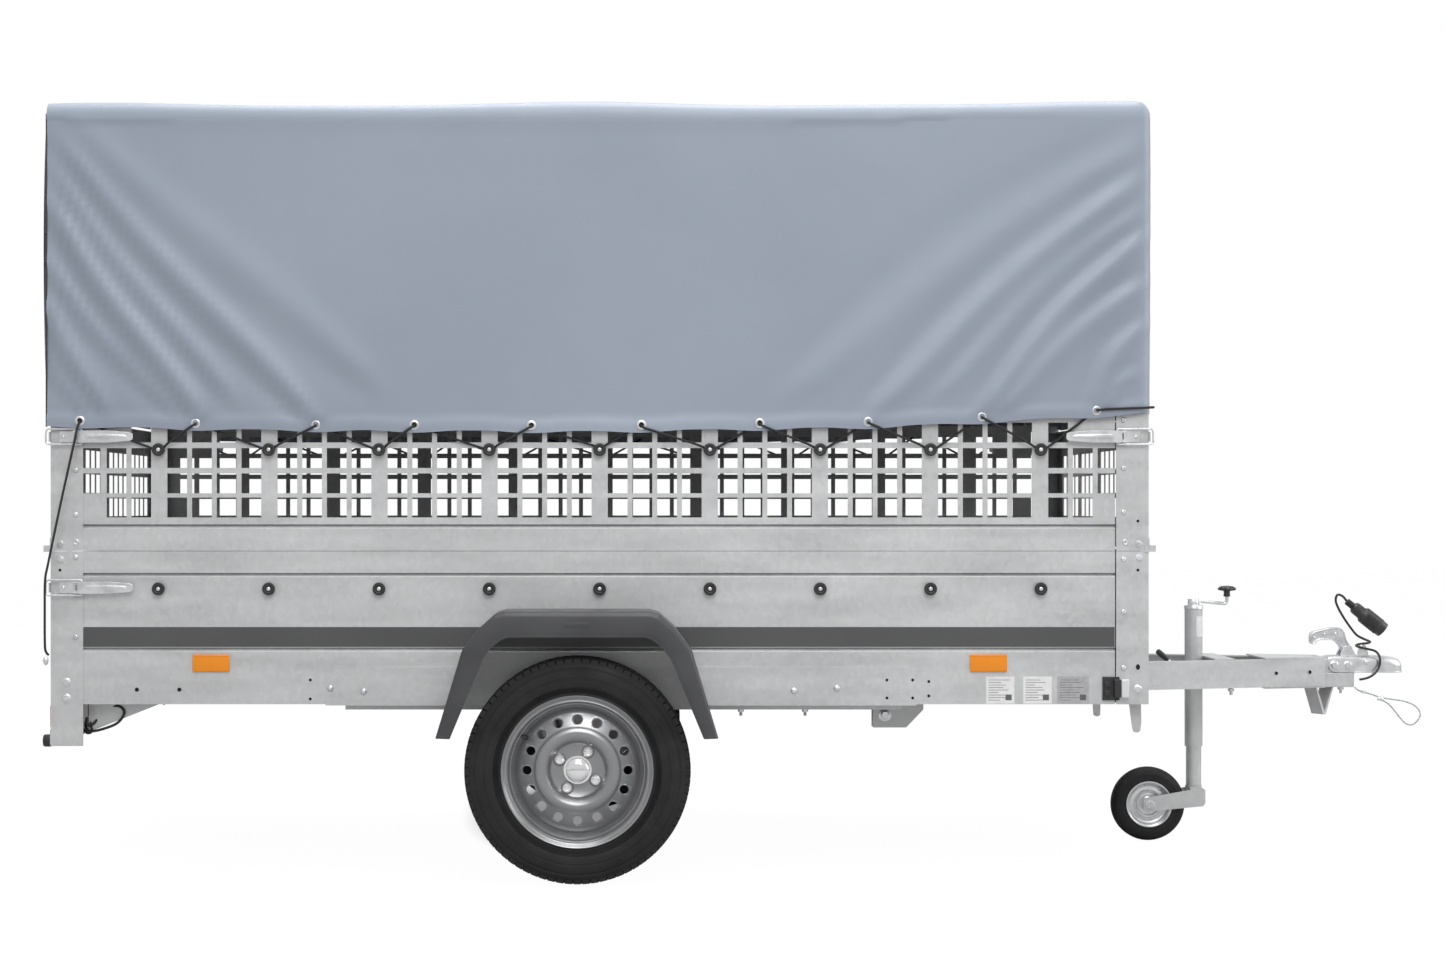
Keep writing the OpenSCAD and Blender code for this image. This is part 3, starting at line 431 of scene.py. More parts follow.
# ---- Cover ----
# One sewn bag of PVC-coated polyester: two sides, the roof and the front, pulled over a frame of
# three hoops. It hangs smooth in the middle, with tension folds fanning down to the corner eyelets.
tarp = Finish("cover_fabric", (0.33, 0.375, 0.445), 0.44, Sheen_Weight=0.15, Sheen_Roughness=0.5)
tarp_tone = tarp.noise(1.6, 4)
tarp.colours(tarp_tone, (0.3, (0.283, 0.322, 0.392)), (0.7, (0.311, 0.353, 0.425)))
tarp.roughness(tarp.noise(14, 4), 0.38, 0.5)
tarp_u = tarp.node("TexWave", bands_direction="Z")
tarp_u.inputs["Scale"].default_value = 330
tarp.link(tarp.place, tarp_u.inputs["Vector"])
tarp_v = tarp.node("TexWave", bands_direction="X")
tarp_v.inputs["Scale"].default_value = 330
tarp.link(tarp.place, tarp_v.inputs["Vector"])
weave = tarp.node("Math", operation="ADD")
tarp.link(tarp_u.outputs["Fac"], weave.inputs[0])
tarp.link(tarp_v.outputs["Fac"], weave.inputs[1])
tarp.bump(weave.outputs["Value"], 0.06, 0.0004)
tarp.bump(tarp.noise(22, 4), 0.1, 0.002)
tarp.bump(tarp.noise(4.5, 3), 0.22, 0.008)

cover_low, cover_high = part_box("tarp_cover")
half_y = cover_high.y - 0.0005
rear_x, front_x, roof_z = cover_low.x, cover_high.x - 0.0005, cover_high.z
hem_points = ((-1.762, 1.104), (-1.55, 1.099), (-1.2, 1.093), (-0.4, 1.090), (0.3, 1.101),
              (0.57, 1.114), (0.80, 1.126), (0.955, 1.136))
# each fold: one end (x, z), the other end (x, z), its height and its half-width
side_folds = (
    ((-1.74, 1.83), (-1.10, 1.11), 0.010, 0.030), ((-1.75, 1.76), (-1.30, 1.15), 0.007, 0.022),
    ((-1.75, 1.66), (-1.39, 1.12), 0.012, 0.028), ((-1.76, 1.52), (-1.44, 1.12), 0.008, 0.022),
    ((-1.76, 1.42), (-1.62, 1.13), 0.009, 0.020), ((-1.75, 1.30), (-1.67, 1.13), 0.006, 0.016),
    ((-1.70, 1.87), (-0.95, 1.20), 0.005, 0.045), ((0.94, 1.74), (0.26, 1.14), 0.009, 0.034),
    ((0.94, 1.66), (0.42, 1.18), 0.006, 0.026), ((0.95, 1.60), (0.53, 1.15), 0.012, 0.026),
    ((0.95, 1.48), (0.58, 1.15), 0.009, 0.024), ((0.95, 1.38), (0.80, 1.17), 0.008, 0.020),
    ((0.95, 1.82), (0.05, 1.18), 0.004, 0.050), ((0.94, 1.26), (0.84, 1.16), 0.006, 0.014))


def eased(t):
    return np.clip(t, 0, 1) ** 2 * (3 - 2 * np.clip(t, 0, 1))


def fold_height(x, z, folds):
    """How far the folds lift the cloth at (x, z): a crest with a shallow trough along one flank."""
    total = np.zeros_like(x)
    for (ax, az), (bx, bz), height, width in folds:
        length = math.hypot(bx - ax, bz - az)
        ux, uz = (bx - ax) / length, (bz - az) / length
        along = ((x - ax) * ux + (z - az) * uz) / length
        off = (x - ax) * uz - (z - az) * ux
        off = off + 0.012 * np.sin(along * 5 + ax * 9)
        wide = width * (0.55 + 0.9 * np.clip(along, 0, 1) * (1 - np.clip(along, 0, 1)) * 2)
        shape = np.exp(-(off / wide) ** 2) - 0.55 * np.exp(-((off - 1.7 * wide) / wide) ** 2)
        total += height * shape * eased(along * 5 + 0.3) * eased((1.06 - along) * 6)
    return total


def ripples(x, z, seed):
    """Small soft unevenness of hanging cloth."""
    draw = np.random.default_rng(seed)
    total = np.zeros_like(x)
    for k in range(14):
        fx, fz = draw.uniform(-7, 7), draw.uniform(-5, 5)
        height = draw.uniform(0.2, 1.0) / (1 + 0.25 * math.hypot(fx, fz))
        total += height * np.sin(fx * x + fz * z + draw.uniform(0, 6))
    return 0.0016 * total


cover_columns, cover_across = 150, 62
hem_rows = [0.0, 0.010, 0.0285, 0.0315]
xs = np.linspace(rear_x, front_x, cover_columns)
ys = np.linspace(-half_y, half_y, cover_across)
rim_points = ([(x, -half_y) for x in xs] + [(front_x, y) for y in ys[1:]]
              + [(x, half_y) for x in xs[::-1][1:]])
row_heights = hem_rows + list(np.linspace(0.05, 0.752, 40)) + [0.757, 0.762, 0.775, 0.788]
row_share = np.array(row_heights + [0.808]) / 0.808
hem_x, hem_z = np.array([p[0] for p in hem_points]), np.array([p[1] for p in hem_points])

cover_points, cover_faces = [], []
for x, y in rim_points:
    low = float(np.interp(x, hem_x, hem_z))
    cover_points += [(x, y, low + share * (roof_z - low)) for share in row_share]
tall = len(row_share)
for c in range(len(rim_points) - 1):
    for r in range(tall - 1):
        a = c * tall + r
        cover_faces.append((a, a + tall, a + tall + 1, a + 1))
roof_start = len(cover_points)
cover_points += [(x, y, roof_z) for x in xs for y in ys]
for i in range(cover_columns - 1):
    for j in range(cover_across - 1):
        a = roof_start + i * cover_across + j
        cover_faces.append((a, a + cover_across, a + cover_across + 1, a + 1))

cloth = np.array(cover_points)
corner_radius = 0.036
inner = np.clip(cloth, (rear_x - 1, -half_y + corner_radius, 0),
                (front_x - corner_radius, half_y - corner_radius,
                                                                 roof_z - corner_radius))
push = cloth - inner
reach = np.linalg.norm(push, axis=1)
out = push / reach[:, None]
cloth = inner + out * corner_radius
X, Y, Z = cloth.T
low_edge = np.interp(X, hem_x, hem_z)
above_hem = Z - low_edge
side = np.abs(out[:, 1])
roof = np.abs(out[:, 2])
front = np.abs(out[:, 0])
lift = side * (fold_height(X, Z, side_folds) + ripples(X, Z, 3)) * eased(above_hem / 0.05 + 0.25)
bulge = 0.0045
along_side = np.sin(np.pi * (X - rear_x) / (front_x - rear_x))
up_side = np.sin(np.pi * np.clip(above_hem / 0.78, 0, 1))
lift -= side * bulge * along_side * up_side
lift += side * 0.0010 * (above_hem < 0.030)
lift += side * 0.0014 * (above_hem > 0.758)
hoops = np.minimum(np.minimum(np.abs(X + 1.655), np.abs(X + 0.401)), np.abs(X - 0.853))
lift -= roof * (0.013 * eased(hoops / 0.45) + 0.002) * eased((half_y - np.abs(Y)) / 0.1 + 0.35)
lift += roof * ripples(X, Y, 8) * 1.3
lift += front * (ripples(Y, Z, 5) + fold_height(Y, Z, (
    ((-0.60, 1.82), (-0.25, 1.16), 0.008, 0.030), ((0.60, 1.80), (0.22, 1.16), 0.008, 0.030),
    ((-0.62, 1.60), (-0.45, 1.16), 0.006, 0.024), ((0.62, 1.55), (0.47, 1.16), 0.006, 0.024)))
    * eased(above_hem / 0.05 + 0.25))
lift = np.clip(lift, -0.012, 0.012)
# the cloth's lower part stays close to the boards, clear of the latches
lift = np.where((above_hem < 0.03) & (side > 0.5), np.clip(lift, -0.002, 0.003), lift)
cloth = cloth + out * lift[:, None]
# scallops of the hem between its eyelets
eyelets_x = (-1.680, -1.395, -1.099, -0.857, -0.569, -0.298, -0.007, 0.260, 0.540, 0.822)
eyelets_z = tuple(float(np.interp(x, hem_x, hem_z)) + 0.019 for x in eyelets_x)
nearest = np.min(np.abs(X[:, None] - np.array(eyelets_x)[None, :]), axis=1)
cloth[:, 2] += side * 0.006 * eased(nearest / 0.12) * eased(1 - above_hem / 0.12)
cloth[:, 2] += 0.006 * np.clip((X - 0.6) / 0.35, 0, 1) * roof


def baked(obj):
    """Replaces an object's mesh by its modified mesh and removes the modifiers."""
    depsgraph = bpy.context.evaluated_depsgraph_get()
    mesh = bpy.data.meshes.new_from_object(obj.evaluated_get(depsgraph))
    obj.modifiers.clear()
    obj.data = mesh
    return obj


def sheet_piece(name, points, faces, thickness, finish, smooth=60):
    """A sheet of cloth with its thickness inwards."""
    mesh = bpy.data.meshes.new(name)
    mesh.from_pydata([tuple(p) for p in points], [], faces)
    obj = bpy.data.objects.new(name, mesh)
    scene.collection.objects.link(obj)
    work = bmesh.new()
    work.from_mesh(mesh)
    bmesh.ops.remove_doubles(work, verts=work.verts, dist=2e-4)
    bmesh.ops.recalc_face_normals(work, faces=work.faces)
    work.to_mesh(mesh)
    work.free()
    solid = obj.modifiers.new("thickness", "SOLIDIFY")
    solid.thickness = thickness
    solid.offset = -1
    baked(obj)
    return settle(obj, finish, "chassis", smooth)


cover = sheet_piece("cover", cloth, cover_faces, 0.0012, tarp)
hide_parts("tarp_cover")

# The rear curtain is a slacker panel outside the rear hoop, hung from the roof's edge.
curtain_rows, curtain_columns = 44, 62
curtain_points, curtain_faces = [], []
curtain_half = half_y - 0.014
for i in range(curtain_rows):
    for j in range(curtain_columns):
        t, s = i / (curtain_rows - 1), j / (curtain_columns - 1)
        y = -curtain_half + 2 * curtain_half * s
        z = 1.140 + (1.893 - 1.140) * t
        slack = 0.009 * math.sin(math.pi * t) ** 0.7 * (0.75 + 0.25 * math.sin(9 * s + 2 * t))
        slack += 0.0025 * math.sin(26 * s + 3 * math.sin(4 * t)) * (1 - t) * math.sin(math.pi * s)
        curtain_points.append((rear_x - 0.0022 - slack, y, z))
for i in range(curtain_rows - 1):
    for j in range(curtain_columns - 1):
        a = i * curtain_columns + j
        curtain_faces.append((a, a + 1, a + curtain_columns + 1, a + curtain_columns))
curtain = sheet_piece("rear_curtain", curtain_points, curtain_faces, 0.001, tarp)
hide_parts("tarp_cover")

# Binding tape along the cover's rear edge, over the gap beside the curtain.
edge_path = [Vector((rear_x - 0.0005, -half_y + 0.0010, z)) for z in np.linspace(1.106, roof_z - 0.036, 30)]
for sign in (-1, 1):
    binding_shape = tube_shape([Vector((p.x, -sign * p.y, p.z)) for p in edge_path], 0.0022, 8)
    piece("rear_binding_" + ("left" if sign > 0 else "right"), *binding_shape, plastic, "chassis",
          "elastic_cord")


# ---- Repeated small parts ----
# Eyelets, knobs, screws and the like are one small turned shape set out on marked points.


def loose(name, shape):
    """An object with no finish or body yet, from (points, faces)."""
    mesh = bpy.data.meshes.new(name)
    mesh.from_pydata([tuple(p) for p in shape[0]], [], [tuple(f) for f in shape[1]])
    obj = bpy.data.objects.new(name, mesh)
    scene.collection.objects.link(obj)
    return obj


def repeated(name, unit, finish, body, places, replaces=(), smooth=40):
    """One shape at each place (x, y, z, side): a Geometry Nodes tree puts it there and realises it."""
    model = loose(name + "_unit", unit)
    marks = bpy.data.meshes.new(name)
    marks.from_pydata([p[:3] for p in places], [], [])
    turn = marks.attributes.new("turn", "FLOAT_VECTOR", "POINT")
    for k, p in enumerate(places):
        turn.data[k].vector = p[3] if len(p) > 3 and hasattr(p[3], "__len__") else (
            math.radians(-90 if p[1] > 0 else 90), 0, 0)
    obj = bpy.data.objects.new(name, marks)
    scene.collection.objects.link(obj)
    tree = bpy.data.node_groups.new("set_out_" + name, "GeometryNodeTree")
    tree.interface.new_socket("Points", in_out="INPUT", socket_type="NodeSocketGeometry")
    unit_socket = tree.interface.new_socket("Unit", in_out="INPUT", socket_type="NodeSocketObject")
    size_socket = tree.interface.new_socket("Size", in_out="INPUT", socket_type="NodeSocketFloat")
    tree.interface.new_socket("Parts", in_out="OUTPUT", socket_type="NodeSocketGeometry")
    make = tree.nodes.new
    entry, leave = make("NodeGroupInput"), make("NodeGroupOutput")
    info = make("GeometryNodeObjectInfo")
    place = make("GeometryNodeInstanceOnPoints")
    real = make("GeometryNodeRealizeInstances")
    paint = make("GeometryNodeSetMaterial")
    facing = make("GeometryNodeInputNamedAttribute")
    rotate = make("FunctionNodeEulerToRotation")
    facing.data_type = "FLOAT_VECTOR"
    facing.inputs["Name"].default_value = "turn"
    paint.inputs["Material"].default_value = finish.material
    link = tree.links.new
    link(entry.outputs["Points"], place.inputs["Points"])
    link(entry.outputs["Unit"], info.inputs["Object"])
    link(entry.outputs["Size"], place.inputs["Scale"])
    link(info.outputs["Geometry"], place.inputs["Instance"])
    link(facing.outputs["Attribute"], rotate.inputs["Euler"])
    link(rotate.outputs["Rotation"], place.inputs["Rotation"])
    link(place.outputs["Instances"], real.inputs["Geometry"])
    link(real.outputs["Geometry"], paint.inputs["Geometry"])
    link(paint.outputs["Geometry"], leave.inputs["Parts"])
    modifier = obj.modifiers.new("set_out", "NODES")
    modifier.node_group = tree
    modifier[unit_socket.identifier] = model
    modifier[size_socket.identifier] = 1.0
    baked(obj)
    bpy.data.objects.remove(model)
    return settle(obj, finish, body, smooth, replaces)


def both_sides(xz, y):
    """Places at (x, z) on the right-hand and left-hand sides."""
    return [(x, side * y, z) for side in (-1, 1) for x, z in xz]


eyelet_ring = [(0.006, -0.0016), (0.0062, 0.0009), (0.0075, 0.0019), (0.0102, 0.0017), (0.0121, 0.0002),
               (0.0121, -0.0003), (0.006, -0.0016)]
repeated("eyelets", lathe(eyelet_ring, steps=32), zinc, "chassis",
         both_sides(list(zip(eyelets_x, eyelets_z)), half_y + 0.0012))
# a thin black disc in each eyelet, and on each hole further down: painted shade for the dark inside seen
# through it
hole_shade_paint = Finish("painted_hole_shade", (0.01, 0.01, 0.01), 0.9)
repeated("eyelet_holes", lathe([(0, 0), (0.0062, 0), (0.0062, 0.0003), (0, 0.0003)], steps=24), hole_shade_paint,
         "chassis", both_sides(list(zip(eyelets_x, eyelets_z)), half_y + 0.0011))
front_eyelets = [(front_x + 0.0012, y, 1.158, (0, math.radians(90), 0)) for y in (-0.5, -0.17, 0.17, 0.5)]
repeated("front_eyelets", lathe(eyelet_ring, steps=32), zinc, "chassis", front_eyelets)

# ---- Lacing knobs ----
# Moulded black rubber knobs on the side boards, each held by one plated screw in its middle.
rubber = Finish("black_rubber", (0.022, 0.022, 0.023), 0.5)
rubber.bump(rubber.noise(500, 2), 0.15, 0.0005)
rubber.roughness(rubber.noise(30), 0.42, 0.6)
board_y = 0.647
bay = 0.2717
body_mid = -0.401
knob_x = [body_mid + (k - 4) * bay for k in range(9)]
knob_outline = [(0, 0), (0.014, 0), (0.014, 0.002), (0.009, 0.0035), (0.0082, 0.0095), (0.0135, 0.0102),
                (0.0158, 0.0118), (0.016, 0.0136), (0.0148, 0.0155), (0.0115, 0.0163), (0.0085, 0.0155),
                (0.007, 0.0138), (0, 0.0138)]
knob_places = both_sides([(x, z) for x in knob_x for z in (1.050, 0.707)], board_y)
repeated("lacing_knobs", lathe(knob_outline, steps=32), rubber, "chassis", knob_places,
         replaces=("board_knobs",))
screw_outline = [(0, 0.0135), (0.0052, 0.0135), (0.0052, 0.0148), (0.0042, 0.0163), (0.0026, 0.0168),
                 (0.0024, 0.0158), (0, 0.0158)]
repeated("knob_screws", lathe(screw_outline, steps=20), zinc, "chassis", knob_places)

# ---- Lacing cord ----
# One black braided elastic cord on each side. It leaves each eyelet outwards, runs down round a
# knob and climbs behind the cover to the next eyelet; its rear end drops to a hook on the post.
elastic = Finish("elastic_cord", (0.014, 0.014, 0.015), 0.62)
braid = elastic.node("TexWave", bands_direction="DIAGONAL")
braid.inputs["Scale"].default_value = 190
elastic.link(elastic.place, braid.inputs["Vector"])
elastic.bump(braid.outputs["Fac"], 0.6, 0.0008)
# the colour darkens with the braid's grooves: painted shade between the strands
elastic.colours(braid.outputs["Fac"], (0.0, (0.006, 0.006, 0.006)), (1.0, (0.022, 0.022, 0.023)))
cord_radius = 0.0030
cord_out, cord_in = half_y + 0.0045, 0.6538


def lace(outer, knob, inner, side):
    """The cord's path from an eyelet's outer side round a knob to the back of another eyelet."""
    lean = 1 if outer[0] > knob[0] else -1
    path = [(outer[0], side * (half_y - 0.003), outer[1]),
            (outer[0] - lean * 0.001, side * cord_out, outer[1] - 0.003),
            (outer[0] - lean * 0.010, side * (cord_out + 0.001), outer[1] - 0.008)]
    entry_x, entry_z = knob[0] + lean * 0.0115, knob[1] + 0.006
    for t in (0.35, 0.65, 0.85):
        path.append((path[2][0] + (entry_x - path[2][0]) * t,
                     side * (cord_out + (cord_in + 0.006 - cord_out) * t ** 2),
                     path[2][2] + (entry_z - path[2][2]) * t))
    for angle in (15, -25, -65, -105, -145, -185):
        a = math.radians(angle)
        path.append((knob[0] + lean * 0.0116 * math.cos(a), side * cord_in, knob[1] + 0.0116 * math.sin(a)))
    start = path[-1]
    for t in (0.3, 0.6, 0.88):
        path.append((start[0] + (inner[0] - start[0]) * t, side * (cord_in + 0.0006),
                     start[2] + (inner[1] - start[2]) * t))
    path.append((inner[0], side * (half_y - 0.006), inner[1]))
    return smooth_path([Vector(p) for p in path], 5, scale=1)


laces = []
lace_points = list(zip(eyelets_x, eyelets_z))
for side_sign in (-1, 1):
    for k in range(9):
        at = (knob_x[k], 1.050)
        if k < 4:
            laces.append(lace(lace_points[k + 1], at, lace_points[k], side_sign))
        elif k > 4:
            laces.append(lace(lace_points[k], at, lace_points[k + 1], side_sign))
        else:
            for near, lean in ((4, -1), (5, 1)):
                arc = [(at[0] + lean * 0.0116 * math.cos(math.radians(a)), side_sign * cord_in,
                        at[1] + 0.0116 * math.sin(math.radians(a))) for a in (-90, -45, 0, 40)]
                top = lace_points[near]
                run = [(arc[-1][0] + (top[0] - arc[-1][0]) * t, side_sign * (cord_in + 0.0005),
                        arc[-1][2] + (top[1] - arc[-1][2]) * t) for t in (0.3, 0.65, 0.9)]
                laces.append(smooth_path([Vector(p)
                                          for p in arc + run + [(top[0], side_sign * (half_y - 0.006),
                                                                 top[1])]],
                                         5, scale=1))
    last = lace_points[9]
    laces.append(smooth_path([Vector(p) for p in (
        (last[0], side_sign * (half_y - 0.003), last[1]),
        (last[0] + 0.004, side_sign * cord_out, last[1] + 0.001),
        (last[0] + 0.03, side_sign * (cord_out + 0.001), last[1] + 0.003),
        (front_x - 0.03, side_sign * (cord_out + 0.0012), last[1] + 0.006),
        (front_x - 0.004, side_sign * (cord_out - 0.001), last[1] + 0.007),
        (front_x + 0.0042, side_sign * (half_y - 0.006), last[1] + 0.008),
        (front_x + 0.0046, side_sign * 0.60, last[1] + 0.010),
        (front_x + 0.0046, side_sign * 0.52, last[1] + 0.011),
        (front_x + 0.001, side_sign * 0.503, last[1] + 0.012))], 5, scale=1))
    first = lace_points[0]
    laces.append(smooth_path([Vector(p) for p in (
        (first[0], side_sign * (half_y - 0.003), first[1]),
        (first[0] - 0.001, side_sign * (cord_out + 0.002), first[1] - 0.006),
        (first[0] - 0.004, side_sign * 0.676, first[1] - 0.02), (-1.692, side_sign * 0.679, 1.06),
        (-1.722, side_sign * 0.683, 0.92), (-1.752, side_sign * 0.687, 0.772),
        (-1.759, side_sign * 0.690, 0.73),
        (-1.760, side_sign * 0.690, 0.66), (-1.760, side_sign * 0.688, 0.57),
        (-1.760, side_sign * 0.672, 0.551),
        (-1.760, side_sign * 0.654, 0.545))], 6, scale=1))
piece("lacing_cord_run", *joined(*(tube_shape(path, cord_radius, 10) for path in laces)), elastic,
               "chassis", "elastic_cord", smooth=60, replaces=("lacing_cord",))

# ---- Tyres ----
# 155/70 R13 road tyres: black rubber with fine rings on the sidewall, four grooves round the
# tread and a row of cut blocks on each shoulder.
tyre_rubber = Finish("tyre_rubber", (0.015, 0.015, 0.016), 0.7, Specular_IOR_Level=0.35)
tyre_rubber.colours(tyre_rubber.noise(18, 5), (0.3, (0.010, 0.010, 0.0105)), (0.75, (0.021, 0.021, 0.022)))
tyre_rubber.bump(tyre_rubber.noise(600, 3), 0.25, 0.0006)
tyre_rubber.roughness(tyre_rubber.noise(12, 4), 0.6, 0.78)
wheel_x, wheel_z, wheel_y = -0.4525, 0.2735, 0.747


def slab(low, high):
    """Points and faces of a block between two corners."""
    points = [(x, y, z) for x in (low[0], high[0]) for y in (low[1], high[1]) for z in (low[2], high[2])]
    return points, [(0, 1, 3, 2), (4, 6, 7, 5), (0, 4, 5, 1), (2, 3, 7, 6), (0, 2, 6, 4), (1, 5, 7, 3)]


def outward(side, x, z, y):
    """A turn and place that put a part drawn with +Z outwards on the body's left (1) or right (-1)."""
    turn = Matrix.Rotation(math.radians(-90 if side > 0 else 90), 4, "X")
    return Matrix.Translation((x, side * y, z)) @ turn


def half_tyre():
    """Outline of one half of the tyre from bead to the tread's middle, as (radius, height)."""
    rows = [(0.170, 0.062), (0.176, 0.0685), (0.180, 0.0705), (0.183, 0.0722), (0.186, 0.0722),
            (0.188, 0.0712)]
    for k in range(5):
        r = 0.1905 + 0.0026 * k
        rows += [(r, 0.0722 + 0.0007 * k), (r + 0.0007, 0.0734 + 0.0007 * k),
                 (r + 0.0015, 0.0722 + 0.0007 * k)]
    rows += [(0.206, 0.0766), (0.215, 0.0772), (0.222, 0.0774), (0.223, 0.0765), (0.225, 0.0765),
             (0.226, 0.0773), (0.234, 0.0768), (0.243, 0.0752), (0.2455, 0.0742), (0.2465, 0.0728),
             (0.2485, 0.0724), (0.250, 0.0732), (0.256, 0.0712), (0.261, 0.0686), (0.265, 0.0645),
             (0.2682, 0.059), (0.2700, 0.053)]
    rows += [(0.2705, 0.0475), (0.2655, 0.0465), (0.2655, 0.0410), (0.2718, 0.0400), (0.2728, 0.0225),
             (0.2660, 0.0215), (0.2660, 0.0150), (0.2733, 0.0140), (0.2735, 0.0)]
    return rows


upper = half_tyre()
tyre_outline = upper + [(r, -h) for r, h in upper[::-1][1:]]
lining = [(0.170, -0.050), (0.186, -0.060), (0.216, -0.068), (0.240, -0.067), (0.256, -0.060),
          (0.262, -0.040), (0.262, 0.040), (0.256, 0.060), (0.240, 0.067), (0.216, 0.068),
          (0.186, 0.060), (0.170, 0.050)]
tyre_ring = tyre_outline + lining + tyre_outline[:1]
shoulder_block = joined(slab((-0.0086, 0.2560, 0.0560), (0.0086, 0.2700, 0.0686)),
                        slab((-0.0090, 0.2680, 0.0480), (0.0090, 0.2716, 0.0600)))
centre_block = slab((-0.0090, 0.2700, 0.0240), (0.0080, 0.2732, 0.0392))
for side_name, sign in (("left", 1), ("right", -1)):
    place = outward(sign, wheel_x, wheel_z, wheel_y)
    piece("tyre_body_" + side_name, *moved(lathe(tyre_ring, steps=144), place), tyre_rubber,
          "wheel_" + side_name,
          "tyre_rubber", replaces=("tyre_" + side_name,))
    blocks = []
    for k in range(80):
        spin = Matrix.Rotation(2 * math.pi * k / 80, 4, "Z")
        shifted = Matrix.Rotation(2 * math.pi * (k + 0.5) / 80, 4, "Z")
        blocks += [moved(shoulder_block, place @ spin), moved(centre_block, place @ shifted)]
        under = Matrix.Diagonal((-1, 1, -1, 1))
        blocks += [moved(shoulder_block, place @ under @ spin), moved(centre_block, place @ under @ shifted)]
    piece("tyre_blocks_" + side_name, *joined(*blocks), tyre_rubber, "wheel_" + side_name, "tyre_rubber",
          smooth=None)

# ---- Rims, hubs and valves ----
# Pressed steel rims in satin silver paint with round vent holes, four plated bolts, a chrome dust
# cap and a rubber valve.
rim_paint = Finish("rim_paint", (0.3, 0.302, 0.308), 0.32, 0.8, Coat_Weight=0.3, Coat_Roughness=0.25)
rim_paint.colours(rim_paint.noise(7, 4), (0.3, (0.285, 0.288, 0.294)), (0.7, (0.330, 0.333, 0.34)))
rim_paint.bump(rim_paint.noise(350, 2), 0.08, 0.0004)
rim_paint.roughness(rim_paint.noise(20, 3), 0.27, 0.36)
chrome = Finish("chrome", (0.85, 0.85, 0.86), 0.1, 1.0)
chrome.roughness(chrome.noise(40, 3), 0.06, 0.16)

rim_outline = [
    (0.0290, 0.0255), (0.0290, 0.0220), (0.0630, 0.0220), (0.0690, 0.0262), (0.0760, 0.0370),
    (0.0850, 0.0425), (0.0930, 0.0422), (0.1005, 0.0375), (0.1055, 0.0318), (0.1360, 0.0280),
    (0.1440, 0.0200), (0.1500, 0.0040), (0.1500, -0.0400), (0.1660, -0.0500), (0.1665, -0.0660),
    (0.1830, -0.0750), (0.1834, -0.0735), (0.1820, -0.0725), (0.1700, -0.0630), (0.1695, -0.0480),
    (0.1535, -0.0395), (0.1535, 0.0260), (0.1600, 0.0350), (0.1692, 0.0470), (0.1698, 0.0622),
    (0.1760, 0.0680), (0.1822, 0.0720), (0.1834, 0.0732), (0.1836, 0.0748), (0.1826, 0.0758),
    (0.1808, 0.0752), (0.1770, 0.0708), (0.1735, 0.0672), (0.1712, 0.0668), (0.1695, 0.0676),
    (0.1672, 0.0655), (0.1655, 0.0600), (0.1648, 0.0520), (0.1628, 0.0492), (0.1606, 0.0494),
    (0.1585, 0.0465), (0.1540, 0.0385), (0.1508, 0.0290), (0.1490, 0.0225), (0.1455, 0.0248),
    (0.1385, 0.0312), (0.1080, 0.0354), (0.1035, 0.0402), (0.0950, 0.0458), (0.0850, 0.0462),
    (0.0745, 0.0406), (0.0672, 0.0294), (0.0625, 0.0256), (0.0290, 0.0255)]
vent_ring = [(0.0108, 0.0), (0.0122, 0.0012), (0.0134, 0.0006), (0.0140, -0.0004)]
valve_outline = [(0, 0), (0.0052, 0), (0.0046, 0.010), (0.0038, 0.022), (0.0042, 0.024), (0.0042, 0.033),
                 (0, 0.0335)]
